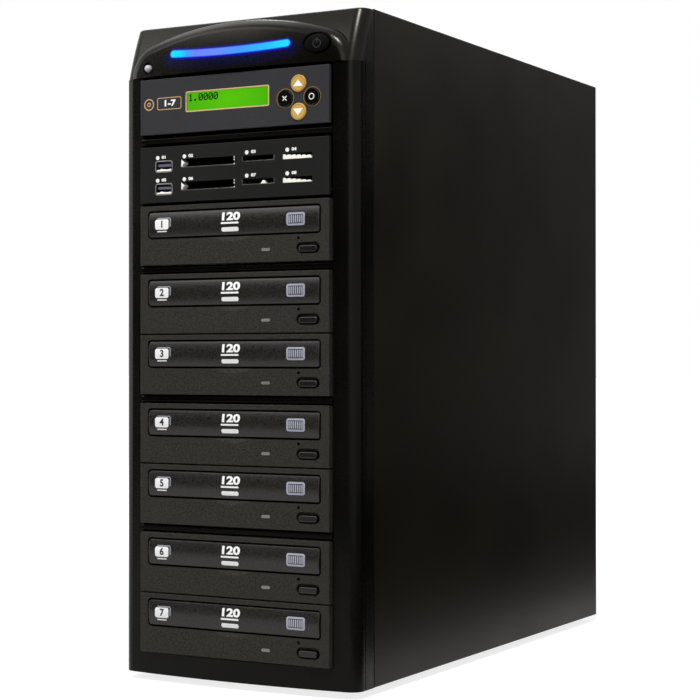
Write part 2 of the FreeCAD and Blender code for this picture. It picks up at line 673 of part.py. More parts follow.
def eject_button(floor):
    """Push button of one drive, with a rounded cap and a collar behind the faceplate."""
    z = floor + EJECT_RISE
    front = FACE_Y - EJECT_PROUD
    collar_y = (FACE_Y + FACEPLATE + BAY_CLEARANCE, FACE_Y + FACEPLATE + EJECT_COLLAR)
    body_z = centred(z, EJECT_HEIGHT)
    cap = rounded_plate(centred(EJECT_X, EJECT_WIDTH), (front, collar_y[1]), body_z, EJECT_CORNER)
    cap = cap.makeFillet(EJECT_EDGE, edges_at(cap, "y", front))
    collar_x = centred(EJECT_X, EJECT_WIDTH + EJECT_COLLAR)
    return cap.fuse(block(collar_x, collar_y, centred(z, EJECT_HEIGHT + EJECT_COLLAR)))


# Display panel and card reader


def key_places():
    """Centres of the four keys, as (x, rise) in a diamond."""
    return {
        "key_up": (KEYPAD_X, KEYPAD_RISE + KEY_STEP_Z),
        "key_down": (KEYPAD_X, KEYPAD_RISE - KEY_STEP_Z),
        "key_back": (KEYPAD_X - KEY_STEP_X, KEYPAD_RISE),
        "key_enter": (KEYPAD_X + KEY_STEP_X, KEYPAD_RISE),
    }


def control_panel(floor):
    """Face of the display bay, with the display's window, four key holes and posts for the key board."""
    plate = bay_face(floor, PANEL_THICKNESS, PANEL_MARGINS)
    through = (FACE_Y - 1, FACE_Y + PANEL_THICKNESS + 1)
    holes = [block(centred(DISPLAY_X, DISPLAY_WIDTH), through, centred(floor + DISPLAY_RISE, DISPLAY_HEIGHT))]
    for x, rise in key_places().values():
        holes.append(rod(Vector(x, through[0], floor + rise), ALONG_Y, KEY_RADIUS + 0.3, 6))
    posts = []
    for x, rise in ((66, 36), (38, 4.5)):
        seat = Vector(x, FACE_Y + PANEL_THICKNESS, floor + rise)
        posts.append(rod(seat, ALONG_Y, 2.2, KEY_BOARD_Y - seat.y))
    return plate.cut(holes).fuse(posts)


def display_module(floor):
    """Two-row character display: glass in a pressed frame on its own board."""
    z = floor + DISPLAY_RISE
    seat = FACE_Y + PANEL_THICKNESS
    glass_x = centred(DISPLAY_X, DISPLAY_WIDTH - 0.3)
    glass = block(glass_x, (FACE_Y + 0.6, seat), centred(z, DISPLAY_HEIGHT - 0.3))
    frame = block(centred(DISPLAY_X, 71), (seat, seat + 6), centred(z, 25))
    board = block(centred(DISPLAY_X, 80), (seat + 6, seat + 6 + WIRE), centred(z, 36))
    return glass.fuse([frame, board])


def panel_key(floor, x, rise):
    """Round key with a chamfered cap and a collar behind the panel."""
    z = floor + rise
    front = FACE_Y - 1.0
    cap = rod(Vector(x, front, z), ALONG_Y, KEY_RADIUS, 4.2)
    rim = [edge for edge in cap.Edges if edge.Closed and edge.CenterOfMass.y < front + 0.01]
    cap = cap.makeChamfer(0.5, rim)
    collar = rod(Vector(x, FACE_Y + PANEL_THICKNESS + 0.2, z), ALONG_Y, KEY_RADIUS + 0.7, 1.2)
    stem = rod(Vector(x, FACE_Y + PANEL_THICKNESS + 1.4, z), ALONG_Y, 2, 1.8)
    return cap.fuse([collar, stem])


def reader_ports():
    """Every port of the card reader: its values, its centre's x and its rise in the bay."""
    places = []
    for row in READER_ROWS:
        for name, port in PORTS.items():
            places.append((name, port, port["x"], row + port["lift"]))
    return places


def card_reader_face(floor):
    """Face of the reader bay, with a slot for each port and holes for the lamps."""
    plate = bay_face(floor, PANEL_THICKNESS, READER_MARGINS)
    through = (FACE_Y - 1, FACE_Y + PANEL_THICKNESS + 1)
    holes = []
    for name, port, x, rise in reader_ports():
        width, height = port["mouth"]
        hole = block(centred(x, width), through, centred(floor + rise, height))
        if name == "usb":
            width, height = port["housing"]
            hole_z = centred(floor + rise, height + GAP)
            hole = rounded_plate(centred(x, width + GAP), through, hole_z, USB_CORNER + GAP / 2)
        holes.append(hole)
    for row in READER_ROWS:
        for x in READER_LAMP_X:
            centre = Vector(x, through[0], floor + row + READER_LAMP_LIFT)
            holes.append(rod(centre, ALONG_Y, READER_LAMP_RADIUS, 6))
    return plate.cut(holes)


def reader_sockets(floor):
    """Socket housings behind the reader's slots, each a sleeve closed at the back."""
    sockets = []
    wall = 1.5
    for name, port, x, rise in reader_ports():
        z = floor + rise
        front = FACE_Y + PANEL_THICKNESS
        if name == "usb":
            front = FACE_Y + 0.2
        back = FACE_Y + port["depth"]
        housing_z = centred(z, port["housing"][1])
        if name != "usb":
            housing_z = (floor + rise - port["lift"] + SOCKET_SEAT, housing_z[1])
        housing_x = centred(x, port["housing"][0])
        mouth_x = centred(x, port["mouth"][0])
        mouth_y = (front - 1, back - wall)
        mouth_z = centred(z, port["mouth"][1])
        if name == "usb":
            housing = rounded_plate(housing_x, (front, back), housing_z, USB_CORNER)
            mouth = rounded_plate(mouth_x, mouth_y, mouth_z, USB_CORNER - wall / 2)
            tongue_z = centred(z + USB_TONGUE[1] / 2, USB_TONGUE[1])
            tongue = block(centred(x, USB_TONGUE[0]), (front + 1, back - wall), tongue_z)
            sockets.append(housing.cut(mouth).fuse(tongue))
        else:
            housing = block(housing_x, (front, back), housing_z)
            sockets.append(housing.cut(block(mouth_x, mouth_y, mouth_z)))
    return sockets


def reader_lamps(floor):
    """Round lamps over the reader's ports, each pressed into its hole in the face."""
    lamps = []
    for row in READER_ROWS:
        for x in READER_LAMP_X:
            centre = Vector(x, FACE_Y - 0.2, floor + row + READER_LAMP_LIFT)
            lamps.append(rod(centre, ALONG_Y, READER_LAMP_RADIUS, PANEL_THICKNESS + 0.2))
    return lamps


def bay_tray(floor, standoffs, standoff_height):
    """Steel tray of a bay unit: floor, two side walls and standoffs for its board."""
    x = centred(0, DRIVE_WIDTH)
    low = floor + 0.3
    tray = block(x, BAY_TRAY_Y, (low, floor + BAY_HEIGHT - 1))
    inside_y = (BAY_TRAY_Y[0] - 1, BAY_TRAY_Y[1] + 1)
    tray = tray.cut(block((x[0] + SHEET, x[1] - SHEET), inside_y, (low + SHEET, CASE_TOP)))
    posts = []
    for post_x, post_y in standoffs:
        seat = Vector(post_x, FACE_Y + post_y, low + SHEET)
        posts.append(rod(seat, ALONG_Z, 2.5, floor + standoff_height - seat.z))
    return tray.fuse(posts)


def key_board(floor):
    """Board behind the keys, with a switch under each."""
    board = block((36.6, 69), (KEY_BOARD_Y, KEY_BOARD_Y + WIRE), (floor + 2.5, floor + 38.5))
    switches = []
    for x, rise in key_places().values():
        switches.append(block(centred(x, 6), (KEY_BOARD_Y - 1, KEY_BOARD_Y), centred(floor + rise, 6)))
    return board.fuse(switches)


def controller_board(floor):
    """Copy controller on its standoffs: processor under a heat sink, memory and a row of drive sockets."""
    low = floor + CONTROLLER_HEIGHT
    top = low + WIRE
    board = block((-66, 66), CONTROLLER_Y, (low, top))
    chip_y = (FACE_Y + 66, FACE_Y + 102)
    chip_top = top + 3
    processor = block((-20, 16), chip_y, (top, chip_top))
    fins = []
    for index in range(6):
        fins.append(block(centred(-17 + index * 6.4, 2), chip_y, (chip_top, chip_top + 8)))
    memory = block((30, 44), (FACE_Y + 70, FACE_Y + 96), (top, top + 1.5))
    sockets = []
    for index in range(DRIVE_COUNT + 1):
        socket_x = centred(-52 + index * 12, 8)
        sockets.append(block(socket_x, (CONTROLLER_Y[1] - 12, CONTROLLER_Y[1]), (top, top + 8)))
    return board.fuse([processor, memory] + fins + sockets)


def reader_boards(floor):
    """Two boards of the card reader, one under each row of sockets, with spacers between them."""
    boards = []
    for row in READER_ROWS:
        top = floor + row + SOCKET_SEAT
        boards.append(block((-70, 70), (READER_BOARD_Y, FACE_Y + 68), (top - WIRE, top)))
    lower_top = floor + READER_ROWS[0] + SOCKET_SEAT
    upper_low = floor + READER_ROWS[1] + SOCKET_SEAT - WIRE
    spacers = []
    for x, y in READER_STANDOFFS:
        spacers.append(rod(Vector(x, FACE_Y + y, lower_top), ALONG_Z, 2.2, upper_low - lower_top))
    return boards[0].fuse([boards[1]] + spacers)


# Chassis and panels


def base_pan():
    """Folded floor of the case, with upturned edges."""
    x = (-PAN_HALF_WIDTH, PAN_HALF_WIDTH)
    y = (SEAM_Y + SHEET + 0.4, INNER_WALL_Y - 0.2)
    low = FOOT_HEIGHT
    pan = block(x, y, (low, low + FLANGE))
    inside = block((x[0] + SHEET, x[1] - SHEET), (y[0] - 1, y[1] + 1), (low + SHEET, low + FLANGE + 1))
    return pan.cut(inside)


def top_panel():
    """Folded roof of the case, with edges turned down at both sides and at the back."""
    x = (-ROOF_HALF_WIDTH, ROOF_HALF_WIDTH)
    y = (SEAM_Y + SHEET + 0.4, REAR_Y)
    roof = block(x, y, (CASE_TOP - FLANGE, CASE_TOP))
    inside_y = (y[0] - 1, y[1] - SHEET)
    inside = block((x[0] + SHEET, x[1] - SHEET), inside_y, (CASE_TOP - FLANGE - 1, CASE_TOP - SHEET))
    return roof.cut(inside)


def rear_panel():
    """Rear wall: supply cut-out, two fan openings, vent slots and holes for its screws."""
    x = (-WALL_HALF_WIDTH, WALL_HALF_WIDTH)
    wall = block(x, (INNER_WALL_Y, REAR_Y), (FOOT_HEIGHT, CASE_TOP - FLANGE))
    through = (INNER_WALL_Y - 1, REAR_Y + 1)
    cutout_z = (SUPPLY_FLOOR + SUPPLY_CUTOUT_INSET, SUPPLY_FLOOR + SUPPLY_HEIGHT - SUPPLY_CUTOUT_INSET)
    holes = [block(SUPPLY_CUTOUT_X, through, cutout_z)]
    for name in ("upper_fan", "lower_fan"):
        fan = FANS[name]
        holes.append(rod(Vector(fan["x"], through[0], fan["z"]), ALONG_Y, FAN_BORE, 3))
        for x_sign, z_sign in corner_signs():
            corner = Vector(fan["x"] + x_sign * FAN_PITCH, through[0], fan["z"] + z_sign * FAN_PITCH)
            holes.append(rod(corner, ALONG_Y, SCREW_SHANK_RADIUS + 0.3, 3))
    for row in range(VENT_ROWS):
        for vent_x in (-VENT_X, VENT_X):
            holes.append(stadium(vent_x, VENT_FLOOR + row * VENT_PITCH, VENT_WIDTH, VENT_HEIGHT, through))
    for place in supply_screw_places():
        holes.append(rod(Vector(place[0], through[0], place[1]), ALONG_Y, SCREW_SHANK_RADIUS + 0.2, 3))
    for height in THUMBSCREW_HEIGHTS:
        for side in (-1, 1):
            start = Vector(side * THUMBSCREW_X, through[0], height)
            holes.append(rod(start, ALONG_Y, THUMBSCREW_SHANK_RADIUS + 0.2, 3))
    return wall.cut(holes)


def corner_signs():
    """The four corners of a square, as pairs of signs."""
    return ((-1, -1), (-1, 1), (1, -1), (1, 1))


def supply_screw_places():
    """Where the power supply is screwed to the rear wall, as (x, z)."""
    heights = (SUPPLY_FLOOR + SUPPLY_SCREW_INSET, SUPPLY_FLOOR + SUPPLY_HEIGHT - SUPPLY_SCREW_INSET)
    return [(x, z) for x in SUPPLY_SCREW_X for z in heights]


def side_panel():
    """Right side panel: plain sheet with hems along top and bottom, a front hook and a rear lip."""
    front = SEAM_Y + 0.8
    back = REAR_Y + SHEET
    low = FOOT_HEIGHT
    inner = HALF_WIDTH - SHEET
    sheet = block((inner, HALF_WIDTH), (front, back), (low, CASE_TOP))
    sheet = sheet.makeFillet(SIDE_EDGE, edges_at(sheet, "x", HALF_WIDTH))
    hems = []
    for hem in ((low, low + HEM_HEIGHT), (CASE_TOP - HEM_HEIGHT, CASE_TOP)):
        hems.append(block((inner - HEM_THICKNESS, inner), (front + 3, back - SHEET - 2), hem))
    hook_y = (front + 1.4, front + 1.4 + SHEET)
    hook = block((inner - HOOK_REACH, inner), hook_y, (low + HOOK_END, CASE_TOP - HOOK_END))
    lip = block((LIP_X, inner), (REAR_Y, back), (low + LIP_END, CASE_TOP - LIP_END))
    body = sheet.fuse(hems + [hook, lip])
    holes = []
    for height in THUMBSCREW_HEIGHTS:
        start = Vector(THUMBSCREW_X, REAR_Y - 1, height)
        holes.append(rod(start, ALONG_Y, THUMBSCREW_SHANK_RADIUS + 0.4, 4))
    return body.cut(holes)


def cage_plate():
    """Right plate of the drive cage: folded flanges, and two screw slots for each bay."""
    x = (CAGE_X, CAGE_X + SHEET)
    y = (CAGE_FRONT, CAGE_FRONT + CAGE_LENGTH)
    z = (FOOT_HEIGHT + SHEET, CASE_TOP - SHEET)
    plate = block(x, y, z)
    folds = [
        block((x[1], CAGE_EAR_X), (y[0], y[0] + SHEET), z),
        block((x[1], CAGE_FOLD_X), (y[0] + SHEET, y[1]), (z[0], z[0] + SHEET)),
        block((x[1], CAGE_FOLD_X), (y[0] + SHEET, y[1]), (z[1] - SHEET, z[1])),
    ]
    slots = []
    for bay in range(DISPLAY_BAY + 1):
        slot_z = centred(bay_floor(bay) + CAGE_SLOT_RISE, CAGE_SLOT_HEIGHT)
        for slot_y in CAGE_SLOT_Y:
            slots.append(block((x[0] - 1, x[1] + 1), centred(slot_y, CAGE_SLOT_LENGTH), slot_z))
    return plate.fuse(folds).cut(slots)


def case_screws():
    """Screws of the rear wall: the supply's four, and four for each fan."""
    screws = []
    for x, z in supply_screw_places():
        screws.append(screw(Vector(x, INNER_WALL_Y, z), ALONG_Y, SHEET))
    for fan in FANS.values():
        for x_sign, z_sign in corner_signs():
            x = fan["x"] + x_sign * FAN_PITCH
            z = fan["z"] + z_sign * FAN_PITCH
            shank = 9.0
            tip = Vector(x, fan["wall"] + WIRE - shank, z)
            screws.append(screw(tip, ALONG_Y, shank))
    return screws


def thumbscrews():
    """Four thumbscrews that hold the side panels: each a turned collar, grip and shank."""
    head = BACK_Y - REAR_Y - SHEET
    profile = [
        (0, -THUMBSCREW_SHANK),
        (THUMBSCREW_SHANK_RADIUS, -THUMBSCREW_SHANK),
        (THUMBSCREW_SHANK_RADIUS, 0),
        (THUMBSCREW_COLLAR_RADIUS, 0),
        (THUMBSCREW_COLLAR_RADIUS, THUMBSCREW_COLLAR),
        (THUMBSCREW_RADIUS, THUMBSCREW_COLLAR),
        (THUMBSCREW_RADIUS, head - THUMBSCREW_EDGE),
        (THUMBSCREW_RADIUS - THUMBSCREW_EDGE, head),
        (0, head),
    ]
    corners = [Vector(radius, along, 0) for radius, along in profile]
    turned = Part.Face(Part.makePolygon(corners + corners[:1])).revolve(Vector(0, 0, 0), ALONG_Y, 360)
    screws = []
    for height in THUMBSCREW_HEIGHTS:
        for side in (-1, 1):
            copy = turned.copy()
            copy.translate(Vector(side * THUMBSCREW_X, REAR_Y + SHEET, height))
            screws.append(copy)
    return screws


def feet():
    """Four round rubber feet, tapered and dished underneath."""
    pads = []
    for x in (-70, 70):
        for y in (SEAM_Y + 20, INNER_WALL_Y - 25):
            pad = Part.makeCone(FOOT_RADIUS - 1.5, FOOT_RADIUS, FOOT_HEIGHT, Vector(x, y, 0), ALONG_Z)
            pads.append(pad.cut(rod(Vector(x, y, -1), ALONG_Z, 3, 2.5)))
    return pads


# Power supply and fans


def supply_case():
    """Power supply's steel case, with the openings of its rear wall."""
    x = centred(0, SUPPLY_WIDTH)
    y = (INNER_WALL_Y - SUPPLY_LENGTH, INNER_WALL_Y)
    z = (SUPPLY_FLOOR, SUPPLY_FLOOR + SUPPLY_HEIGHT)
    shell = block(x, y, z)
    inside = block((x[0] + SHEET, x[1] - SHEET), (y[0] + SHEET, y[1] - SHEET), (z[0] + SHEET, z[1] - SHEET))
    fan = FANS["psu_fan"]
    through = y[1] - SHEET - 1
    holes = [rod(Vector(fan["x"], through, fan["z"]), ALONG_Y, FAN_BORE, 3)]
    for x_sign, z_sign in corner_signs():
        corner = Vector(fan["x"] + x_sign * FAN_PITCH, through, fan["z"] + z_sign * FAN_PITCH)
        holes.append(rod(corner, ALONG_Y, SCREW_SHANK_RADIUS + 0.3, 3))
    holes.append(block(centred(INLET_X, 26), (through, y[1] + 1), (INLET_Z - 11, SWITCH_Z + 13)))
    vents = []
    for index in range(SUPPLY_VENTS):
        vent_x = (index - (SUPPLY_VENTS - 1) / 2) * SUPPLY_VENT_PITCH
        vents.append(block(centred(vent_x, 4), (y[0] - 1, y[0] + 2), (z[0] + 20, z[1] - 20)))
    return shell.cut([inside] + holes + vents)


def power_inlet():
    """Mains inlet and switch housing in one moulding: a keyed socket with three pins, and a rocker frame."""
    middle = (INLET_Z + SWITCH_Z + 2) / 2
    height = SWITCH_Z - INLET_Z + 24
    flange_width, flange_depth = INLET_FLANGE
    flange_y = (INNER_WALL_Y, INNER_WALL_Y + flange_depth)
    flange = rounded_plate(centred(INLET_X, flange_width), flange_y, centred(middle, height + 4), 2)
    body_width, body_depth = INLET_BODY
    body_y = (INNER_WALL_Y - body_depth, INNER_WALL_Y)
    body = block(centred(INLET_X, body_width), body_y, centred(middle, height - 0.4))
    mouth_x, mouth_z = INLET_MOUTH
    corners = [
        (-mouth_x, -mouth_z), (mouth_x, -mouth_z), (mouth_x, mouth_z - INLET_KEY),
        (mouth_x - INLET_KEY, mouth_z), (INLET_KEY - mouth_x, mouth_z), (-mouth_x, mouth_z - INLET_KEY),
    ]
    outline = [Vector(INLET_X + x, INNER_WALL_Y - INLET_DEPTH, INLET_Z + z) for x, z in corners]
    socket = Part.Face(Part.makePolygon(outline + outline[:1])).extrude(Vector(0, 30, 0))
    pin_y = (INNER_WALL_Y - INLET_DEPTH - 1, INNER_WALL_Y - 4)
    pins = []
    for x, z in INLET_PINS:
        pins.append(block(centred(INLET_X + x, INLET_PIN[0]), pin_y, centred(INLET_Z + z, INLET_PIN[1])))
    well_y = (INNER_WALL_Y - 15, INNER_WALL_Y + 3)
    rocker_well = block(centred(INLET_X, ROCKER_WELL[0]), well_y, centred(SWITCH_Z, ROCKER_WELL[1]))
    return flange.fuse(body).cut([socket, rocker_well]).fuse(pins)


def power_rocker():
    """Rocker of the mains switch, drawn level and then tilted to its rest position."""
    profile = [(7.4, 0), (6.0, 8.3), (-3, 5), (-3, -5), (6.0, -8.3)]
    outline = [(ROCKER_PIVOT_Y + out, SWITCH_Z + up) for out, up in profile]
    rocker = prism_x(outline, centred(INLET_X, ROCKER_WIDTH))
    rocker.rotate(Vector(INLET_X, ROCKER_PIVOT_Y, SWITCH_Z), ALONG_X, -ROCKER_TILT)
    return rocker


def fan_frame(fan):
    """Square fan frame with a round bore, four struts and the motor's seat."""
    back = fan["wall"] - SHEET
    y = (back - FAN_DEPTH, back)
    centre = Vector(fan["x"], y[0], fan["z"])
    frame = rounded_plate(centred(fan["x"], FAN_SIZE), y, centred(fan["z"], FAN_SIZE), 4)
    holes = [rod(centre - ALONG_Y, ALONG_Y, FAN_BORE, FAN_DEPTH + 2)]
    for x_sign, z_sign in corner_signs():
        corner = centre + Vector(x_sign * FAN_PITCH, -1, z_sign * FAN_PITCH)
        holes.append(rod(corner, ALONG_Y, 2.1, FAN_DEPTH + 2))
    seat = rod(centre, ALONG_Y, FAN_HUB, 3)
    struts = []
    for index in range(4):
        strut = block((FAN_HUB - 1, FAN_BORE + 0.8), (0, 3), (-2, 2))
        strut.rotate(Vector(0, 0, 0), ALONG_Y, 45 + index * 90)
        strut.translate(centre)
        struts.append(strut)
    return frame.cut(holes).fuse([seat] + struts)


def fan_rotor(fan):
    """Fan rotor: a hub with pitched and cambered blades."""
    front = fan["wall"] - SHEET - FAN_DEPTH + 4
    depth = 19.0
    hub = rod(Vector(0, 0, 0), ALONG_Y, FAN_HUB, depth)
    blade = fan_blade(depth / 2)
    blades = []
    for index in range(BLADES):
        turned = blade.copy()
        turned.rotate(Vector(0, 0, 0), ALONG_Y, index * 360 / BLADES)
        blades.append(turned)
    rotor = hub.fuse(blades)
    rotor.translate(Vector(fan["x"], front, fan["z"]))
    return rotor


def fan_blade(middle):
    """One blade along X: a cambered section of two arcs, pitched to the fan's axis."""
    half_chord = 11.0
    camber = 3.0
    thickness = 1.6
    root = FAN_HUB - 1.5
    lead = Vector(root, 0, half_chord)
    trail = Vector(root, 0, -half_chord)
    outline = Part.Wire([
        Part.Arc(lead, Vector(root, camber, 0), trail).toShape(),
        Part.Arc(trail, Vector(root, camber - thickness, 0), lead).toShape(),
    ])
    blade = Part.Face(outline).extrude(Vector(FAN_TIP - root, 0, 0))
    blade.rotate(Vector(0, 0, 0), ALONG_X, FAN_BLADE_PITCH)
    blade.translate(Vector(0, middle, 0))
    return blade


def fan_guard(fan):
    """Wire guard: rings on two crossed bars, with an eye at each screw."""
    y = (fan["wall"], fan["wall"] + WIRE)
    centre = Vector(fan["x"], y[0], fan["z"])
    pieces = []
    for radius in (9, 21, 33):
        outer = rod(centre, ALONG_Y, radius + WIRE / 2, WIRE)
        pieces.append(outer.cut(rod(centre, ALONG_Y, radius - WIRE / 2, WIRE)))
    reach = FAN_PITCH * math.sqrt(2)
    for turn in (45, 135):
        bar = block((-reach, reach), (0, WIRE), centred(0, WIRE))
        bar.rotate(Vector(0, 0, 0), ALONG_Y, turn)
        bar.translate(centre)
        pieces.append(bar)
    eye_holes = []
    for x_sign, z_sign in corner_signs():
        corner = centre + Vector(x_sign * FAN_PITCH, 0, z_sign * FAN_PITCH)
        pieces.append(rod(corner, ALONG_Y, 3.6, WIRE))
        eye_holes.append(rod(corner - ALONG_Y, ALONG_Y, SCREW_SHANK_RADIUS + 0.1, WIRE + 2))
    return pieces[0].fuse(pieces[1:]).cut(eye_holes)


# Wiring


def loom(x, radius, start, stops, branch_radius):
    """A tied loom: an upright trunk with a bend at its start and a branch forward to each socket."""
    heights = [height for height, reach in stops] + [start.z]
    low = min(heights)
    trunk = rod(Vector(x, LOOM_Y, low), ALONG_Z, radius, max(heights) - low)
    ends = [Part.makeSphere(radius, Vector(x, LOOM_Y, height)) for height in (low, max(heights))]
    root = rod(Vector(x, min(start.y, LOOM_Y), start.z), ALONG_Y, radius * 0.9, abs(LOOM_Y - start.y))
    branches = []
    for height, reach in stops:
        branches.append(rod(Vector(x, reach, height), ALONG_Y, branch_radius, LOOM_Y - reach))
    return trunk.fuse(ends + [root] + branches)


def drive_sockets():
    """Height and depth of each drive's rear sockets."""
    return [(bay_floor(bay) + 12, FACE_Y + DRIVE_LENGTH + 4) for bay in range(DRIVE_COUNT)]


def data_cables():
    """Data loom from the controller's sockets down the backs of the drives."""
    height = bay_floor(DISPLAY_BAY) + CONTROLLER_HEIGHT + WIRE + 4
    return loom(DATA_LOOM_X + 2, 5, Vector(0, FACE_Y + 146, height), drive_sockets(), 2.5)


def power_harness():
    """Power loom from the supply up the backs of the drives."""
    start = Vector(0, INNER_WALL_Y - SUPPLY_LENGTH, SUPPLY_FLOOR + 60)
    return loom(POWER_LOOM_X, 5, start, drive_sockets(), 2.5)


def main():
    os.makedirs("parts", exist_ok=True)
    display_floor = bay_floor(DISPLAY_BAY)
    reader_floor = bay_floor(READER_BAY)
    drive_floors = [bay_floor(DRIVE_COUNT - number) for number in range(1, DRIVE_COUNT + 1)]

    export("front_bezel", front_bezel())
    export("crown", crown())
    export("light_bar", light_bar())
    export("power_button", power_button())
    export("crown_board", crown_board())

    export("drive_bezels", [drive_faceplate(floor) for floor in drive_floors])
    export("drive_cases", [drive_case(floor) for floor in drive_floors])
    export("drive_decks", [drive_deck(floor) for floor in drive_floors])
    export("drive_lamps", [drive_lamp(floor) for floor in drive_floors])
    for number, floor in enumerate(drive_floors, start=1):
        export(f"drive_{number}_tray", disc_tray(floor))
        export(f"drive_{number}_door", tray_door(floor))
        export(f"drive_{number}_eject_button", eject_button(floor))

    export("control_panel", control_panel(display_floor))
    export("display_module", display_module(display_floor))
    for name, (x, rise) in key_places().items():
        export(name, panel_key(display_floor, x, rise))
    export("card_reader_face", card_reader_face(reader_floor))
    export("reader_sockets", reader_sockets(reader_floor))
    export("indicator_lamps", reader_lamps(reader_floor) + [status_lamp()])
    boards = [key_board(display_floor), controller_board(display_floor), reader_boards(reader_floor)]
    export("circuit_boards", boards)
    export("bay_trays", [
        bay_tray(display_floor, CONTROLLER_STANDOFFS, CONTROLLER_HEIGHT),
        bay_tray(reader_floor, READER_STANDOFFS, READER_ROWS[0] + SOCKET_SEAT - WIRE),
    ])

    export("base_pan", base_pan())
    export("top_panel", top_panel())
    export("rear_panel", rear_panel())
    export("right_side_panel", side_panel())
    export("left_side_panel", mirrored(side_panel()))
    export("drive_cage", pair(cage_plate()))
    export("case_screws", case_screws())
    export("panel_thumbscrews", thumbscrews())
    export("feet", feet())

    export("psu_case", supply_case())
    export("power_inlet", power_inlet())
    export("power_rocker", power_rocker())
    export("fan_frames", [fan_frame(fan) for fan in FANS.values()])
    export("fan_guards", [fan_guard(fan) for fan in FANS.values()])
    for name, fan in FANS.items():
        export(name + "_rotor", fan_rotor(fan))
    export("data_cables", data_cables())
    export("power_harness", power_harness())


main()
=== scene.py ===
import math

import bpy
from mathutils import Matrix, Vector


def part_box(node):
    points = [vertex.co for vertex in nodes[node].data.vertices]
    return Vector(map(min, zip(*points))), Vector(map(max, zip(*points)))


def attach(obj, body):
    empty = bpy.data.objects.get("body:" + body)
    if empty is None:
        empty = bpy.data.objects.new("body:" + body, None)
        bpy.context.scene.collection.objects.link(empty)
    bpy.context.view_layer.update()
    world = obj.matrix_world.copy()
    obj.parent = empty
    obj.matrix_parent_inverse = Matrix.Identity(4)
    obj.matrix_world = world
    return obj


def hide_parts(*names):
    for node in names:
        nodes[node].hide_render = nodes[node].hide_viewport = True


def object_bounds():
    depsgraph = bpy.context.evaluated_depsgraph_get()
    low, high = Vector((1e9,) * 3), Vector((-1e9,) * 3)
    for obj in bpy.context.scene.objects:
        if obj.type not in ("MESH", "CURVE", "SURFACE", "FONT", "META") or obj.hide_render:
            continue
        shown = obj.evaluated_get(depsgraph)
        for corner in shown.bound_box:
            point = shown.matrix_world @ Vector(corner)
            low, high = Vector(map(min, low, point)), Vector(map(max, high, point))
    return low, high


# Disc duplicator tower: black steel case, moulded front, seven drives, a card reader and a lit display.
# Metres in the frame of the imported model: +X to the right, the front faces -Y, +Z up.

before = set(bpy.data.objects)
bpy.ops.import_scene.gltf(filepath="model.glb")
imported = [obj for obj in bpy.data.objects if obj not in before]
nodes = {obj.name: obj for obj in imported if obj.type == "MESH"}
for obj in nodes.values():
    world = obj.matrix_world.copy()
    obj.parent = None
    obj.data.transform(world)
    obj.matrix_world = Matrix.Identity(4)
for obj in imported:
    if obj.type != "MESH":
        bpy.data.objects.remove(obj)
cad_low, cad_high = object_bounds()

MM = 0.001
INK = 0.06 * MM
DRIVES = range(1, 8)
WHITE = "#ffffff"

# Card reader, in millimetres: the floor of its bay, its two rows above that, and the columns of its openings
READER_FLOOR = 328.2
READER_ROWS = (12.0, 27.6)
ROW_STEP = READER_ROWS[1] - READER_ROWS[0]
LAMP_COLUMNS = (-59.8, -38.0, 11.6, 42.8)
PORT_X = -55.0
LARGE_SLOT_X = -19.4
MEDIUM_SLOT_X = 20.2
SMALL_SLOT_X = 50.2


def linear(hex_code):
    """An sRGB hex colour as the linear colour that a shader socket takes."""
    channels = []
    for start in (1, 3, 5):
        value = int(hex_code[start:start + 2], 16) / 255
        if value <= 0.04045:
            channels.append(value / 12.92)
        else:
            channels.append(((value + 0.055) / 1.055) ** 2.4)
    return (channels[0], channels[1], channels[2], 1.0)


def feed(tree, node, inputs):
    """Give each named input of a node a value or a link."""
    for name, value in inputs.items():
        socket = node.inputs[name]
        if isinstance(value, bpy.types.NodeSocket):
            tree.links.new(value, socket)
        else:
            socket.default_value = value


def add(tree, kind, settings=None, inputs=None):
    """Add a node, set its properties, and feed its inputs."""
    node = tree.nodes.new(kind)
    for name, value in (settings or {}).items():
        setattr(node, name, value)
    feed(tree, node, inputs or {})
    return node


def new_material(name):
    """A material with one principled shader, and the piece's own coordinates to draw patterns with."""
    material = bpy.data.materials.new(name)
    material.use_nodes = True
    tree = material.node_tree
    tree.nodes.clear()
    shader = add(tree, "ShaderNodeBsdfPrincipled")
    add(tree, "ShaderNodeOutputMaterial", inputs={"Surface": shader.outputs[0]})
    place = add(tree, "ShaderNodeTexCoord").outputs["Object"]
    return material, tree, shader, place


# Plastics, paints and inks

# The black skins reflect a little warmer than they are lit, the paint more than the plastic.
WARM_SHEEN = "#f4e6cb"
SOFT_SHEEN = "#fbf9ec"

# Width of the clouds that handling leaves on a skin, and how far the pattern swings its roughness
CLOUD_MM = 90
SKIN_SWING = 0.06


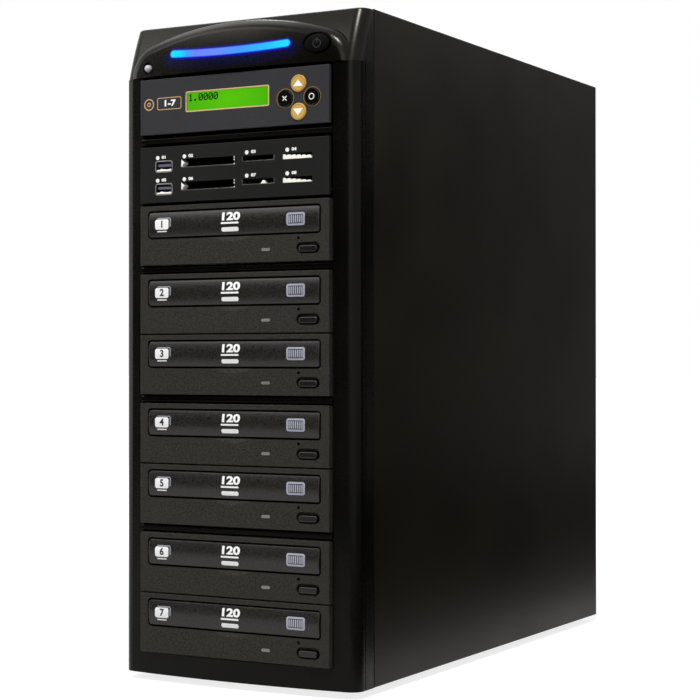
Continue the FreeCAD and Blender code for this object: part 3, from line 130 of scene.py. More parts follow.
def grained(name, dark, light, *, grain_mm, depth_mm, roughness, specular, grain_share=0.5, sheen=WHITE):
    """A skin whose colour, gloss and bump follow an even grain, with a share left to clouds of handling."""
    material, tree, shader, place = new_material(name)
    grain = add(tree, "ShaderNodeTexNoise", inputs={
        "Vector": place, "Scale": 1 / (grain_mm * MM), "Detail": 3.0, "Roughness": 0.6})
    cloud = add(tree, "ShaderNodeTexNoise", inputs={
        "Vector": place, "Scale": 1 / (CLOUD_MM * MM), "Detail": 2.0})
    blend = add(tree, "ShaderNodeMix", {"data_type": "FLOAT"}, {
        0: grain_share, 2: cloud.outputs["Fac"], 3: grain.outputs["Fac"]})
    spread = add(tree, "ShaderNodeMapRange", inputs={
        "Value": blend.outputs[0], "From Min": 0.35, "From Max": 0.65})
    colour = add(tree, "ShaderNodeMix", {"data_type": "RGBA"}, {
        0: spread.outputs[0], 6: linear(dark), 7: linear(light)})
    gloss = add(tree, "ShaderNodeMapRange", inputs={
        "Value": spread.outputs[0], "To Min": roughness - SKIN_SWING, "To Max": roughness + SKIN_SWING})
    bump = add(tree, "ShaderNodeBump", inputs={
        "Height": grain.outputs["Fac"], "Strength": 0.5, "Distance": depth_mm * MM})
    feed(tree, shader, {
        "Base Color": colour.outputs[2], "Roughness": gloss.outputs[0], "Normal": bump.outputs[0],
        "Specular IOR Level": specular, "Specular Tint": linear(sheen)})
    return material, tree, shader, place


def powder_coated_steel():
    # Powder coat on sheet steel: a slightly pebbled satin skin, warm near-black.
    return grained("powder_coated_steel", "#0e0b06", "#17130a", grain_mm=1.3, depth_mm=0.05,
                   roughness=0.36, specular=0.1, sheen=WARM_SHEEN)[0]


def satin_abs_bezel():
    # Moulded ABS with a satin finish: nearly smooth and deep black, with soft wide highlights.
    return grained("satin_abs_bezel", "#060604", "#0b0a08", grain_mm=1.0, depth_mm=0.012,
                   roughness=0.26, specular=0.1, sheen=SOFT_SHEEN)[0]


def spark_textured_abs():
    # ABS from a spark-eroded mould: a fine dry grain that greys the black, drawn coarse enough to show.
    return grained("spark_textured_abs", "#151411", "#393731", grain_mm=0.9, depth_mm=0.09,
                   roughness=0.58, specular=0.12, grain_share=0.95)[0]


def satin_abs_door():
    # Smoother ABS of the tray doors: darker than the faceplate, with a sheen along the crowned edges.
    return grained("satin_abs_door", "#11100d", "#262420", grain_mm=0.9, depth_mm=0.02,
                   roughness=0.32, specular=0.34, grain_share=0.9)[0]


def printed_overlay():
    # Screen-printed polyester film on the display bay: an even matt grey with a dusting of fine grain.
    return grained("printed_polyester_overlay", "#29292c", "#343437", grain_mm=0.9, depth_mm=0.012,
                   roughness=0.55, specular=0.12, grain_share=0.7)[0]


def matt_abs_reader():
    # Matt ABS of the reader's face: darker and plainer than the drives.
    return grained("matt_abs_reader", "#0f0f0f", "#191918", grain_mm=0.9, depth_mm=0.03,
                   roughness=0.55, specular=0.12, grain_share=0.7)[0]


def polished_abs_button():
    # Polished ABS: black with a clear tight reflection.
    return grained("polished_abs_button", "#050505", "#0b0b0b", grain_mm=0.6, depth_mm=0.004,
                   roughness=0.22, specular=0.3)[0]


def satin_abs_small():
    # Satin ABS of the buttons and trays, a little darker than the doors.
    return grained("satin_abs_small_parts", "#0d0d0b", "#181714", grain_mm=0.7, depth_mm=0.02,
                   roughness=0.30, specular=0.35)[0]


def moulded_nylon():
    # Glass-filled nylon of fans, decks and the inlet: dull black with a fine flow grain.
    return grained("glass_filled_nylon", "#0c0c0c", "#171716", grain_mm=1.4, depth_mm=0.03,
                   roughness=0.55, specular=0.25)[0]


def cream_nylon():
    # Unfilled nylon of the card guides, contact combs and port plates: warm off-white, with a soft sheen.
    return grained("natural_nylon", "#efeadb", "#fffdf4", grain_mm=0.6, depth_mm=0.01,
                   roughness=0.45, specular=0.3)[0]


def foot_rubber():
    # Moulded rubber: matt, with a dusty grey bloom.
    return grained("moulded_rubber", "#141413", "#232321", grain_mm=1.6, depth_mm=0.05,
                   roughness=0.8, specular=0.2)[0]


def filter_foam():
    # Open-cell foam: matt, with black pores, drawn a little coarser than real so that they show.
    return grained("open_cell_filter_foam", "#010101", "#0a0a0a", grain_mm=2.2, depth_mm=0.5,
                   roughness=0.95, specular=0.05, grain_share=1.0)[0]


def solder_mask_board():
    # Solder mask over glass-fibre board: glossy dark green.
    return grained("solder_mask_board", "#0d3a1c", "#14502a", grain_mm=1.2, depth_mm=0.01,
                   roughness=0.35, specular=0.5)[0]


def sleeved_cable():
    # Braided cable sleeve: dull black with a fine weave.
    return grained("braided_cable_sleeve", "#161515", "#262423", grain_mm=1.0, depth_mm=0.12,
                   roughness=0.7, specular=0.2)[0]


def gold_lacquer():
    # Gold-coloured lacquer of the keys: warm, even and faintly pearly.
    return grained("gold_lacquer", "#bd8f3c", "#d4ad5e", grain_mm=0.7, depth_mm=0.01,
                   roughness=0.4, specular=0.3)[0]


def screen_ink(name, dark, light, *, roughness, specular):
    """A screen-printed ink: nearly flat, with the faint unevenness that the mesh leaves."""
    return grained(name, dark, light, grain_mm=0.5, depth_mm=0.008, roughness=roughness, specular=specular)[0]


def pale_gold_ink():
    # Pale gold ink of the line round the display.
    return screen_ink("pale_gold_screen_ink", "#bd9460", "#d8b486", roughness=0.5, specular=0.3)


def white_ink():
    # White ink: flat, opaque and a little uneven.
    return screen_ink("white_screen_ink", "#e6e6e4", "#fdfdfc", roughness=0.6, specular=0.2)


def lilac_ink():
    # White ink with a cool cast, laid so thinly that the black under it greys it.
    return screen_ink("cool_white_screen_ink", "#7e8090", "#b0b2c2", roughness=0.6, specular=0.2)


def graphite_ink():
    # Graphite ink: only just lighter than the button under it.
    return screen_ink("graphite_screen_ink", "#27272a", "#38383c", roughness=0.5, specular=0.2)


def dull_gold_ink():
    # Bronze-gold ink: duller and darker than the lacquered keys.
    return screen_ink("bronze_gold_screen_ink", "#74592b", "#94753f", roughness=0.5, specular=0.3)


def dark_ink():
    # Dark ink over white.
    return screen_ink("dark_screen_ink", "#26262c", "#3a3a42", roughness=0.6, specular=0.2)


def display_ink():
    # Dark segments of a liquid crystal display.
    return grained("liquid_crystal_dark_segment", "#031404", "#062006", grain_mm=0.4, depth_mm=0.002,
                   roughness=0.5, specular=0.1)[0]


def smoked_light_pipe():
    # Unlit light pipe: grey translucent acrylic.
    return grained("smoked_acrylic_light_pipe", "#6a6863", "#86847e", grain_mm=0.6, depth_mm=0.01,
                   roughness=0.3, specular=0.5)[0]


def lamp_caps():
    # Frosted acrylic lamp caps: milky white over the ports, and a grey unlit dome in the crown.
    material, tree, shader, place = grained("frosted_acrylic_lamp", "#dededb", "#f6f6f4", grain_mm=0.5,
                                            depth_mm=0.01, roughness=0.3, specular=0.5)
    milky = shader.inputs["Base Color"].links[0].from_socket
    height = add(tree, "ShaderNodeSeparateXYZ", inputs={"Vector": place})
    in_crown = add(tree, "ShaderNodeMath", {"operation": "GREATER_THAN"}, {
        0: height.outputs["Z"], 1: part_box("crown")[0].z})
    colour = add(tree, "ShaderNodeMix", {"data_type": "RGBA"}, {
        0: in_crown.outputs[0], 6: milky, 7: linear("#b4b4ba")})
    feed(tree, shader, {"Base Color": colour.outputs[2]})
    return material


# Metals

METAL_SWING = 0.08


def metal_surface(name, dark, light, *, grain_mm, stretch, roughness):
    """A bare metal: a grain drawn out along Z tints it and roughens its shine."""
    material, tree, shader, place = new_material(name)
    drawn = add(tree, "ShaderNodeMapping", inputs={"Vector": place, "Scale": (1, 1, 1 / stretch)})
    grain = add(tree, "ShaderNodeTexNoise", inputs={
        "Vector": drawn.outputs[0], "Scale": 1 / (grain_mm * MM), "Detail": 3.0})
    colour = add(tree, "ShaderNodeMix", {"data_type": "RGBA"}, {
        0: grain.outputs["Fac"], 6: linear(dark), 7: linear(light)})
    gloss = add(tree, "ShaderNodeMapRange", inputs={
        "Value": grain.outputs["Fac"], "From Min": 0.3, "From Max": 0.7,
        "To Min": roughness - METAL_SWING, "To Max": roughness + METAL_SWING})
    feed(tree, shader, {"Base Color": colour.outputs[2], "Roughness": gloss.outputs[0], "Metallic": 1.0})
    return material


def zinc_plated_steel():
    # Zinc-plated sheet: cool grey with a spangled, uneven shine.
    return metal_surface("zinc_plated_steel", "#84878a", "#aeb1b3",
                         grain_mm=5.0, stretch=1.0, roughness=0.38)


def black_zinc():
    # Zinc on the cage and the bay trays, coloured near-black as painted shade, so that it reads as shadow
    # where it shows in the gaps round the drives; with a dull metal sheen.
    return metal_surface("zinc_with_painted_shade", "#1a1a1a", "#2b2b2a",
                         grain_mm=4.0, stretch=1.0, roughness=0.5)


def nickel_plate():
    # Bright nickel plate on screws and wire guards.
    return metal_surface("nickel_plate", "#a9a9a4", "#cfcfca",
                         grain_mm=1.5, stretch=3.0, roughness=0.28)


def worn_nickel():
    # Thin dulled nickel on the edges of the card slots.
    return metal_surface("dulled_nickel_edge", "#6c6c68", "#8e8e89",
                         grain_mm=1.5, stretch=3.0, roughness=0.4)


def socket_housings():
    # Black nylon card sockets; the two ports at the left have nickel-plated shells and slate-blue tongues.
    material, tree, shader, place = new_material("nylon_sockets_with_nickel_shells")
    grain_mm = 1.2
    shell_half = 8 * MM
    mouth_half = 5.6 * MM
    rim_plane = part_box("reader_sockets")[0].y + 0.3 * MM
    across = add(tree, "ShaderNodeSeparateXYZ", inputs={"Vector": place})
    is_port = add(tree, "ShaderNodeMath", {"operation": "COMPARE"}, {
        0: across.outputs["X"], 1: PORT_X * MM, 2: shell_half})
    is_inside = add(tree, "ShaderNodeMath", {"operation": "COMPARE"}, {
        0: across.outputs["X"], 1: PORT_X * MM, 2: mouth_half})
    is_deep = add(tree, "ShaderNodeMath", {"operation": "GREATER_THAN"}, {
        0: across.outputs["Y"], 1: rim_plane})
    is_front = add(tree, "ShaderNodeMath", {"operation": "LESS_THAN"}, {
        0: across.outputs["Y"], 1: rim_plane})
    tongue = add(tree, "ShaderNodeMath", {"operation": "MULTIPLY"}, {
        0: is_inside.outputs[0], 1: is_deep.outputs[0]})
    shell = add(tree, "ShaderNodeMath", {"operation": "MULTIPLY"}, {
        0: is_port.outputs[0], 1: is_front.outputs[0]})
    grain = add(tree, "ShaderNodeTexNoise", inputs={
        "Vector": place, "Scale": 1 / (grain_mm * MM), "Detail": 2.0})
    nylon = add(tree, "ShaderNodeMix", {"data_type": "RGBA"}, {
        0: grain.outputs["Fac"], 6: linear("#0c0c0c"), 7: linear("#181817")})
    lined = add(tree, "ShaderNodeMix", {"data_type": "RGBA"}, {
        0: tongue.outputs[0], 6: nylon.outputs[2], 7: linear("#5c5a72")})
    colour = add(tree, "ShaderNodeMix", {"data_type": "RGBA"}, {
        0: shell.outputs[0], 6: lined.outputs[2], 7: linear("#d2d0ca")})
    gloss = add(tree, "ShaderNodeMapRange", inputs={
        "Value": grain.outputs["Fac"], "To Min": 0.25, "To Max": 0.5})
    feed(tree, shader, {
        "Base Color": colour.outputs[2], "Metallic": shell.outputs[0], "Roughness": gloss.outputs[0]})
    return material


# Lit pieces


def lit_display():
    # Backlit liquid crystal: yellow-green, a little brighter in the middle than at the ends.
    material, tree, shader, place = new_material("backlit_liquid_crystal")
    low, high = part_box("display_module")
    middle = (low + high) / 2
    reach_x = 60 * MM
    reach_z = 30 * MM
    glass_plane = low.y + 0.2 * MM
    backlight = 0.95
    centred = add(tree, "ShaderNodeMapping", inputs={
        "Vector": place, "Location": (-middle.x / reach_x, 0, -middle.z / reach_z),
        "Scale": (1 / reach_x, 0, 1 / reach_z)})
    falloff = add(tree, "ShaderNodeTexGradient", {"gradient_type": "SPHERICAL"}, {
        "Vector": centred.outputs[0]})
    colour = add(tree, "ShaderNodeMix", {"data_type": "RGBA"}, {
        0: falloff.outputs["Fac"], 6: linear("#3da400"), 7: linear("#57c600")})
    depth = add(tree, "ShaderNodeSeparateXYZ", inputs={"Vector": place})
    front = add(tree, "ShaderNodeMath", {"operation": "LESS_THAN"}, {0: depth.outputs["Y"], 1: glass_plane})
    power = add(tree, "ShaderNodeMath", {"operation": "MULTIPLY"}, {0: front.outputs[0], 1: backlight})
    feed(tree, shader, {
        "Emission Color": colour.outputs[2], "Emission Strength": power.outputs[0],
        "Base Color": linear("#0c1c06"), "Roughness": 0.3, "Specular IOR Level": 0.15})
    return material


BAR_FLANGE = 2 * MM
BAR_RADIUS = 2.8 * MM


def light_bar_place(tree, place):
    """How far a point lies from the light bar's sagging line, where along it, and whether it is below."""
    low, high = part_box("light_bar")
    reach = BAR_FLANGE + BAR_RADIUS
    left = low.x + reach
    right = high.x - reach
    line_low = low.z + reach
    line_high = high.z - reach
    across = add(tree, "ShaderNodeSeparateXYZ", inputs={"Vector": place})
    nearest = add(tree, "ShaderNodeClamp", inputs={"Value": across.outputs["X"], "Min": left, "Max": right})
    along = add(tree, "ShaderNodeMapRange", inputs={
        "Value": nearest.outputs[0], "From Min": left, "From Max": right, "To Min": -1.0, "To Max": 1.0})
    bend = add(tree, "ShaderNodeMath", {"operation": "MULTIPLY"}, {0: along.outputs[0], 1: along.outputs[0]})
    line = add(tree, "ShaderNodeMath", {"operation": "MULTIPLY_ADD"}, {
        0: bend.outputs[0], 1: line_high - line_low, 2: line_low})
    on_line = add(tree, "ShaderNodeCombineXYZ", inputs={"X": nearest.outputs[0], "Z": line.outputs[0]})
    on_front = add(tree, "ShaderNodeCombineXYZ", inputs={
        "X": across.outputs["X"], "Z": across.outputs["Z"]})
    distance = add(tree, "ShaderNodeVectorMath", {"operation": "DISTANCE"}, {
        0: on_front.outputs[0], 1: on_line.outputs[0]})
    below = add(tree, "ShaderNodeMath", {"operation": "GREATER_THAN"}, {
        0: line.outputs[0], 1: across.outputs["Z"]})
    return {"distance": distance.outputs["Value"], "along": along.outputs[0], "below": below.outputs[0]}


def lit_light_bar():
    # Edge-lit acrylic: cyan over the emitters at both ends, violet-blue between, deep blue along its rim.
    material, tree, shader, place = new_material("edge_lit_acrylic")
    bar = light_bar_place(tree, place)
    share = add(tree, "ShaderNodeMapRange", inputs={"Value": bar["along"], "From Min": -1.0})
    ramp = add(tree, "ShaderNodeValToRGB", inputs={"Fac": share.outputs[0]})
    stops = (
        (0.0, "#06e8fa"), (0.07, "#0ad6ff"), (0.13, "#3aa4ff"), (0.21, "#6c86f6"),
        (0.40, "#6a8cf8"), (0.60, "#3f9cff"), (0.82, "#24bcff"), (1.0, "#18e0fa"))
    elements = ramp.color_ramp.elements
    while len(elements) < len(stops):
        elements.new(1.0)
    for element, (position, hex_code) in zip(elements, stops):
        element.position = position
        element.color = linear(hex_code)
    rim_start = 0.66 * BAR_RADIUS
    rim = add(tree, "ShaderNodeMapRange", inputs={
        "Value": bar["distance"], "From Min": rim_start, "From Max": BAR_RADIUS})
    colour = add(tree, "ShaderNodeMix", {"data_type": "RGBA"}, {
        0: rim.outputs[0], 6: ramp.outputs["Color"], 7: linear("#0508d8")})
    feed(tree, shader, {
        "Emission Color": colour.outputs[2], "Emission Strength": 1.0,
        "Base Color": linear("#030614"), "Roughness": 0.25, "Specular IOR Level": 0.2})
    return material


def lit_crown():
    # The bezel's satin ABS, with the blue spill of the light bar on the plastic round it.
    material, tree, shader, place = grained("satin_abs_crown", "#060503", "#0b0a07", grain_mm=1.0,
                                            depth_mm=0.012, roughness=0.27, specular=0.16, sheen=SOFT_SHEEN)
    close_reach = BAR_RADIUS + 1.8 * MM
    wide_reach = BAR_RADIUS + 9 * MM
    wide_share = 0.11
    spill = 0.7
    bar = light_bar_place(tree, place)
    near = add(tree, "ShaderNodeMapRange", inputs={
        "Value": bar["distance"], "From Min": BAR_RADIUS, "From Max": close_reach,
        "To Min": 1.0, "To Max": 0.0})
    fall = add(tree, "ShaderNodeMath", {"operation": "POWER"}, {0: near.outputs[0], 1: 2.0})
    wide = add(tree, "ShaderNodeMapRange", inputs={
        "Value": bar["distance"], "From Min": BAR_RADIUS, "From Max": wide_reach,
        "To Min": wide_share, "To Max": 0.0})
    glow = add(tree, "ShaderNodeMath", {"operation": "MULTIPLY_ADD"}, {
        0: wide.outputs[0], 1: bar["below"], 2: fall.outputs[0]})
    power = add(tree, "ShaderNodeMath", {"operation": "MULTIPLY"}, {0: glow.outputs[0], 1: spill})
    feed(tree, shader, {"Emission Strength": power.outputs[0], "Emission Color": linear("#1016c8")})
    return material


# Modelling helpers

FACING_FRONT = (math.radians(90), 0, 0)
SMOOTH_BELOW = math.radians(40)
CORNER_STEPS = 6
RING_SIDES = 64

# Height of a digit as a share of its type size
DIGIT_SHARE = 0.72


def choose(piece=None):
    """Make one piece the active and only selected one, or select nothing."""
    bpy.ops.object.select_all(action="DESELECT")
    if piece:
        bpy.context.view_layer.objects.active = piece
        piece.select_set(True)


def pick_faces(piece, test):
    """Open a piece for editing with only the faces selected that pass a test."""
    choose(piece)
    bpy.ops.object.mode_set(mode="EDIT")
    bpy.ops.mesh.select_mode(type="FACE")
    bpy.ops.mesh.select_all(action="DESELECT")
    bpy.ops.object.mode_set(mode="OBJECT")
    for face in piece.data.polygons:
        face.select = test(face)
    bpy.ops.object.mode_set(mode="EDIT")


def settled(name):
    """The piece just added, with the name given, and with its place, turn and size put into its mesh."""
    bpy.ops.object.transform_apply(location=True, rotation=True, scale=True)
    piece = bpy.context.object
    piece.name = name
    return piece


def block(name, low, high):
    """A cube stretched between two corners, its place in its mesh, ready for shaping."""
    choose()
    low = Vector(low)
    high = Vector(high)
    bpy.ops.mesh.primitive_cube_add(size=1, location=(low + high) / 2, scale=high - low)
    return settled(name)


def soften(piece, width, segments=2):
    """Round a piece's edges with a bevel, and shade it smooth across the rounding."""
    choose(piece)
    bevel = piece.modifiers.new("rounding", "BEVEL")
    bevel.width = width
    bevel.segments = segments
    bevel.limit_method = "ANGLE"
    bpy.ops.object.modifier_apply(modifier=bevel.name)
    bpy.ops.object.shade_smooth_by_angle(angle=SMOOTH_BELOW)
    return piece


def carve(piece, cutter):
    """Cut one piece out of another."""
    choose(piece)
    cut = piece.modifiers.new("carving", "BOOLEAN")
    cut.object = cutter
    cut.operation = "DIFFERENCE"
    cut.solver = "EXACT"
    bpy.ops.object.modifier_apply(modifier=cut.name)
    bpy.data.objects.remove(cutter)
    return piece


def join(name, pieces):
    """Join pieces into one, with the name given."""
    choose()
    for piece in pieces:
        piece.select_set(True)
    bpy.context.view_layer.objects.active = pieces[0]
    if len(pieces) > 1:
        bpy.ops.object.join()
    pieces[0].name = name
    return pieces[0]


def moved_copy(piece, name, offset):
    """A copy of a piece with its own mesh, moved in its mesh by an offset."""
    copy = piece.copy()
    copy.data = piece.data.copy()
    copy.data.transform(Matrix.Translation(offset))
    copy.name = name
    bpy.context.collection.objects.link(copy)
    return copy


def copies_of(name, model, offsets):
    """One piece made of copies of a model at the offsets given. The model itself goes."""
    copies = []
    for offset in offsets:
        copies.append(moved_copy(model, name, offset))
    bpy.data.objects.remove(model)
    return join(name, copies)


def dress(piece, body, material):
    """Give a finished piece its material and its body."""
    piece.data.materials.clear()
    piece.data.materials.append(material)
    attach(piece, body)
    return piece


def thicken(depth):
    """In edit mode: push the whole patch back by a depth, and turn every face outwards."""
    bpy.ops.mesh.select_all(action="SELECT")
    bpy.ops.mesh.extrude_region_move(TRANSFORM_OT_translate={"value": (0, depth, 0)})
    bpy.ops.mesh.select_all(action="SELECT")
    bpy.ops.mesh.normals_make_consistent(inside=False)
    bpy.ops.object.mode_set(mode="OBJECT")


def outline_patch(name, points, front, depth=INK):
    """A printed patch, or a deeper bar, that faces the front, from an outline of (x, z) points."""
    choose()
    bpy.ops.mesh.primitive_circle_add(vertices=len(points), radius=1, fill_type="NGON")
    piece = bpy.context.object
    piece.name = name
    for vertex, (x, z) in zip(piece.data.vertices, points):
        vertex.co = (x, front - INK, z)
    bpy.ops.object.mode_set(mode="EDIT")
    thicken(depth)
    return piece


def rounded_patch(name, x, z, front, *, width, height, corner, line=0.0):
    """A printed patch with rounded corners that faces the front, or only its border line."""
    choose()
    bpy.ops.mesh.primitive_plane_add(size=1, location=(x, front - INK, z), rotation=FACING_FRONT)
    bpy.context.object.scale = (width, height, 1)
    piece = settled(name)
    bpy.ops.object.mode_set(mode="EDIT")
    bpy.ops.mesh.select_all(action="SELECT")
    bpy.ops.mesh.bevel(affect="VERTICES", offset=corner, segments=CORNER_STEPS)
    if line:
        bpy.ops.mesh.select_all(action="SELECT")
        bpy.ops.mesh.inset(thickness=line)
        bpy.ops.mesh.delete(type="FACE")
    thicken(INK)
    return piece


def ring(name, x, z, front, *, outer, inner):
    """A printed ring that faces the front: a disc, inset, opened and thickened."""
    choose()
    bpy.ops.mesh.primitive_circle_add(vertices=RING_SIDES, radius=outer, fill_type="NGON",
                                      location=(x, front - INK, z), rotation=FACING_FRONT)
    piece = settled(name)
    bpy.ops.object.mode_set(mode="EDIT")
    bpy.ops.mesh.select_all(action="SELECT")
    bpy.ops.mesh.inset(thickness=outer - inner)
    bpy.ops.mesh.delete(type="FACE")
    thicken(INK)
    return piece


def numeral(name, digits, x, z, front, *, height, weight=0.0, stretch=1.0):
    """Printed digits about x and z on a front plane: strokes swollen by a weight, then widened."""
    choose()
    bpy.ops.object.text_add(location=(0, 0, 0))
    text = bpy.context.object
    text.data.body = digits
    text.data.align_x = "CENTER"
    text.data.align_y = "CENTER"
    text.data.size = height / DIGIT_SHARE
    text.data.offset = weight
    text.data.extrude = INK / 2
    bpy.ops.object.convert(target="MESH")
    piece = bpy.context.object
    piece.scale = (stretch, 1, 1)
    piece.rotation_euler = FACING_FRONT
    piece.location = (x, front - INK / 2, z)
    return settled(name)


def lay_on(piece, target, front):
    """Slice a flat mark into rows and lay it on the curved front of a carried-over node."""
    row = 1 * MM
    stand_off = 20 * MM
    heights = [vertex.co.z for vertex in piece.data.vertices]
    choose(piece)
    bpy.ops.object.mode_set(mode="EDIT")
    for step in range(1, math.ceil((max(heights) - min(heights)) / row)):
        bpy.ops.mesh.select_all(action="SELECT")
        bpy.ops.mesh.bisect(plane_co=(0, 0, min(heights) + step * row), plane_no=(0, 0, 1))
    bpy.ops.object.mode_set(mode="OBJECT")
    surface = nodes[target]
    to_surface = surface.matrix_world.inverted()
    backwards = to_surface.to_3x3() @ Vector((0, 1, 0))
    for vertex in piece.data.vertices:
        start = to_surface @ Vector((vertex.co.x, front - stand_off, vertex.co.z))
        found, place = surface.ray_cast(start, backwards)[:2]
        if found:
            vertex.co.y += (surface.matrix_world @ place).y - front
    return piece


# Display bay


def display_window():
    """Lowest and highest corner of the display's window in the panel."""
    low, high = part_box("display_module")
    middle = (low + high) / 2
    half = Vector((32.2 * MM, 0, 6.25 * MM))
    return middle - half, middle + half


def display_surround(gold):
    """Gold line printed round the display's window, with rounded corners."""
    low, high = display_window()
    middle = (low + high) / 2
    line = 0.8 * MM
    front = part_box("control_panel")[0].y
    piece = rounded_patch("display_surround", middle.x, middle.z, front, width=high.x - low.x + 2 * line,
                          height=high.z - low.z + 2 * line, corner=1.2 * MM, line=line)
    return dress(piece, "case", gold)


DOT_ROWS = {
    "0": ("01110", "10001", "10011", "10101", "11001", "10001", "01110"),
    "1": ("00100", "01100", "00100", "00100", "00100", "00100", "01110"),
    ".": ("00000", "00000", "00000", "00000", "00000", "01100", "01100"),
}


def display_digits(text, ink):
    """Dot-matrix digits on the display's upper row: one dot, copied to each lit place."""
    low, high = display_window()
    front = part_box("display_module")[0].y
    pitch = 0.68 * MM
    dot = 0.9 * MM
    edge = 0.02 * MM
    step = 4.0 * MM
    margin_x = 1.2 * MM
    margin_z = 1.0 * MM
    start = Vector((low.x + margin_x, front - INK, high.z - margin_z))
    model = soften(block("dot", start, start + Vector((dot, INK, -dot))), edge, segments=1)
    offsets = []
    for index, sign in enumerate(text):
        for row, line in enumerate(DOT_ROWS[sign]):
            for column, lit in enumerate(line):
                if lit == "1":
                    offsets.append(Vector((index * step + column * pitch, 0, -row * pitch)))
    return dress(copies_of("display_digits", model, offsets), "case", ink)


def panel_legend(gold, white):
    """Plain legend left of the display: a disc sign, and the number of copies at once in a gold frame."""
    low, high = display_window()
    middle = (low.z + high.z) / 2
    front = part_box("control_panel")[0].y
    disc_x = -67.0 * MM
    number_x = -50.4 * MM
    disc = ring("disc", disc_x, middle, front, outer=4.0 * MM, inner=3.3 * MM)
    hub = ring("hub", disc_x, middle, front, outer=1.5 * MM, inner=0.9 * MM)
    border = rounded_patch("frame", number_x, middle, front, width=19.6 * MM, height=8.4 * MM,
                           corner=1.2 * MM, line=0.45 * MM)
    dress(join("legend_lines", [disc, hub, border]), "case", gold)
    number = numeral("legend_number", "1-7", number_x, middle, front,
                     height=4.2 * MM, weight=0.2 * MM, stretch=1.3)
    return dress(number, "case", white)


def key_centre(node):
    """Middle of a key's cap, on its front plane."""
    low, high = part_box(node)
    middle = (low + high) / 2
    return Vector((middle.x, low.y, middle.z))


def key_arrow(node, direction, ink):
    """White triangle printed on an arrow key."""
    centre = key_centre(node)
    half = 3.7 * MM
    rise = 1.9 * MM * direction
    base = centre.z - rise
    tip = centre.z + 1.3 * rise
    points = [(centre.x - half, base), (centre.x + half, base), (centre.x, tip)]
    piece = outline_patch(node + "_arrow", points, centre.y)
    return dress(piece, node + "_cap", ink)


def key_ring(node, gold):
    """Gold ring printed on the panel round a dark key."""
    centre = key_centre(node)
    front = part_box("control_panel")[0].y
    piece = ring(node + "_ring", centre.x, centre.z, front, outer=6.6 * MM, inner=6.1 * MM)
    return dress(piece, "case", gold)


def key_border(node, gold):
    """Darker ring printed inside the rim of a gold key."""
    centre = key_centre(node)
    piece = ring(node + "_border", centre.x, centre.z, centre.y, outer=4.9 * MM, inner=4.65 * MM)
    return dress(piece, node + "_cap", gold)


def key_cross(ink):
    """White cross on the back key: two crossed bars."""
    centre = key_centre("key_back")
    reach = 1.5 * MM
    half = 0.22 * MM
    bars = []
    for slope in (-1, 1):
        points = []
        for end, side in ((-1, -1), (-1, 1), (1, 1), (1, -1)):
            x = end * reach - side * half * slope
            z = end * reach * slope + side * half
            points.append((centre.x + x, centre.z + z))
        bars.append(outline_patch("bar", points, centre.y))
    return dress(join("key_back_cross", bars), "key_back_cap", ink)


def key_circle(ink):
    """White ring on the enter key."""
    centre = key_centre("key_enter")
    piece = ring("key_enter_circle", centre.x, centre.z, centre.y, outer=2.1 * MM, inner=1.6 * MM)
    return dress(piece, "key_enter_cap", ink)


def power_symbol(ink):
    """Ring and bar, printed in grey on the power button."""
    low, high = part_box("power_button")
    x = (low.x + high.x) / 2
    z = (low.z + high.z) / 2
    circle_z = z - 0.3 * MM
    bar_z = z + 1.6 * MM
    circle = ring("circle", x, circle_z, low.y, outer=2.9 * MM, inner=2.4 * MM)
    bar = rounded_patch("bar", x, bar_z, low.y, width=0.6 * MM, height=3.4 * MM, corner=0.2 * MM)
    piece = lay_on(join("power_symbol", [circle, bar]), "power_button", low.y)
    return dress(piece, "power_cap", ink)


# Card reader, with outlines in millimetres about a row's line


def reader_numbers(ink):
    """Small printed numbers beside the reader's lamps."""
    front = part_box("card_reader_face")[0].y
    aside = 5.1
    rise = 4.9
    pieces = []
    for row in reversed(READER_ROWS):
        for column in LAMP_COLUMNS:
            number = f"0{len(pieces) + 1}"
            x = (column + aside) * MM
            z = (READER_FLOOR + row + rise) * MM
            pieces.append(numeral("number", number, x, z, front,
                                  height=2.0 * MM, weight=0.12 * MM, stretch=1.3))
    return dress(join("reader_numbers", pieces), "case", ink)


def in_both_rows(name, model):
    """A model of the lower row, repeated for the upper row."""
    step = Vector((0, 0, ROW_STEP)) * MM
    return copies_of(name, model, [Vector(), step])


def reader_bar(outline, front, depth):
    """A bar with eased edges, from an outline of (x, z) points about the lower row's line."""
    row = READER_FLOOR + READER_ROWS[0]
    edge = 0.08 * MM
    points = [(x * MM, (row + z) * MM) for x, z in outline]
    return soften(outline_patch("bar", points, front, depth * MM), edge, segments=1)


def strip(left, right, low, high):
    """Outline of a straight strip."""
    return [(left, low), (right, low), (right, high), (left, high)]


def slot_contacts(cream):
    """Pale contact combs in the mouths of the two small slots, each lower towards its right end."""
    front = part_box("card_reader_face")[0].y + 0.5 * MM
    depth = 8
    count = 6
    width = 22.2
    left = SMALL_SLOT_X - width / 2
    pitch = width / count
    foot = 1.4
    top = 1.9
    notch = 0.9
    combs = []
    for base, fall in ((0, 0.42), (ROW_STEP, 0.24)):
        outline = [(left, base - foot)]
        for index in range(count):
            x = left + index * pitch
            crest = base + top - fall * index
            dip = max(crest - notch, base - notch)
            outline += [(x, crest), (x + 0.5 * pitch, crest), (x + 0.65 * pitch, dip), (x + 0.9 * pitch, dip)]
        outline.append((left + width, base - foot))
        combs.append(reader_bar(outline, front, depth))
    return dress(join("slot_contacts", combs), "case", cream)


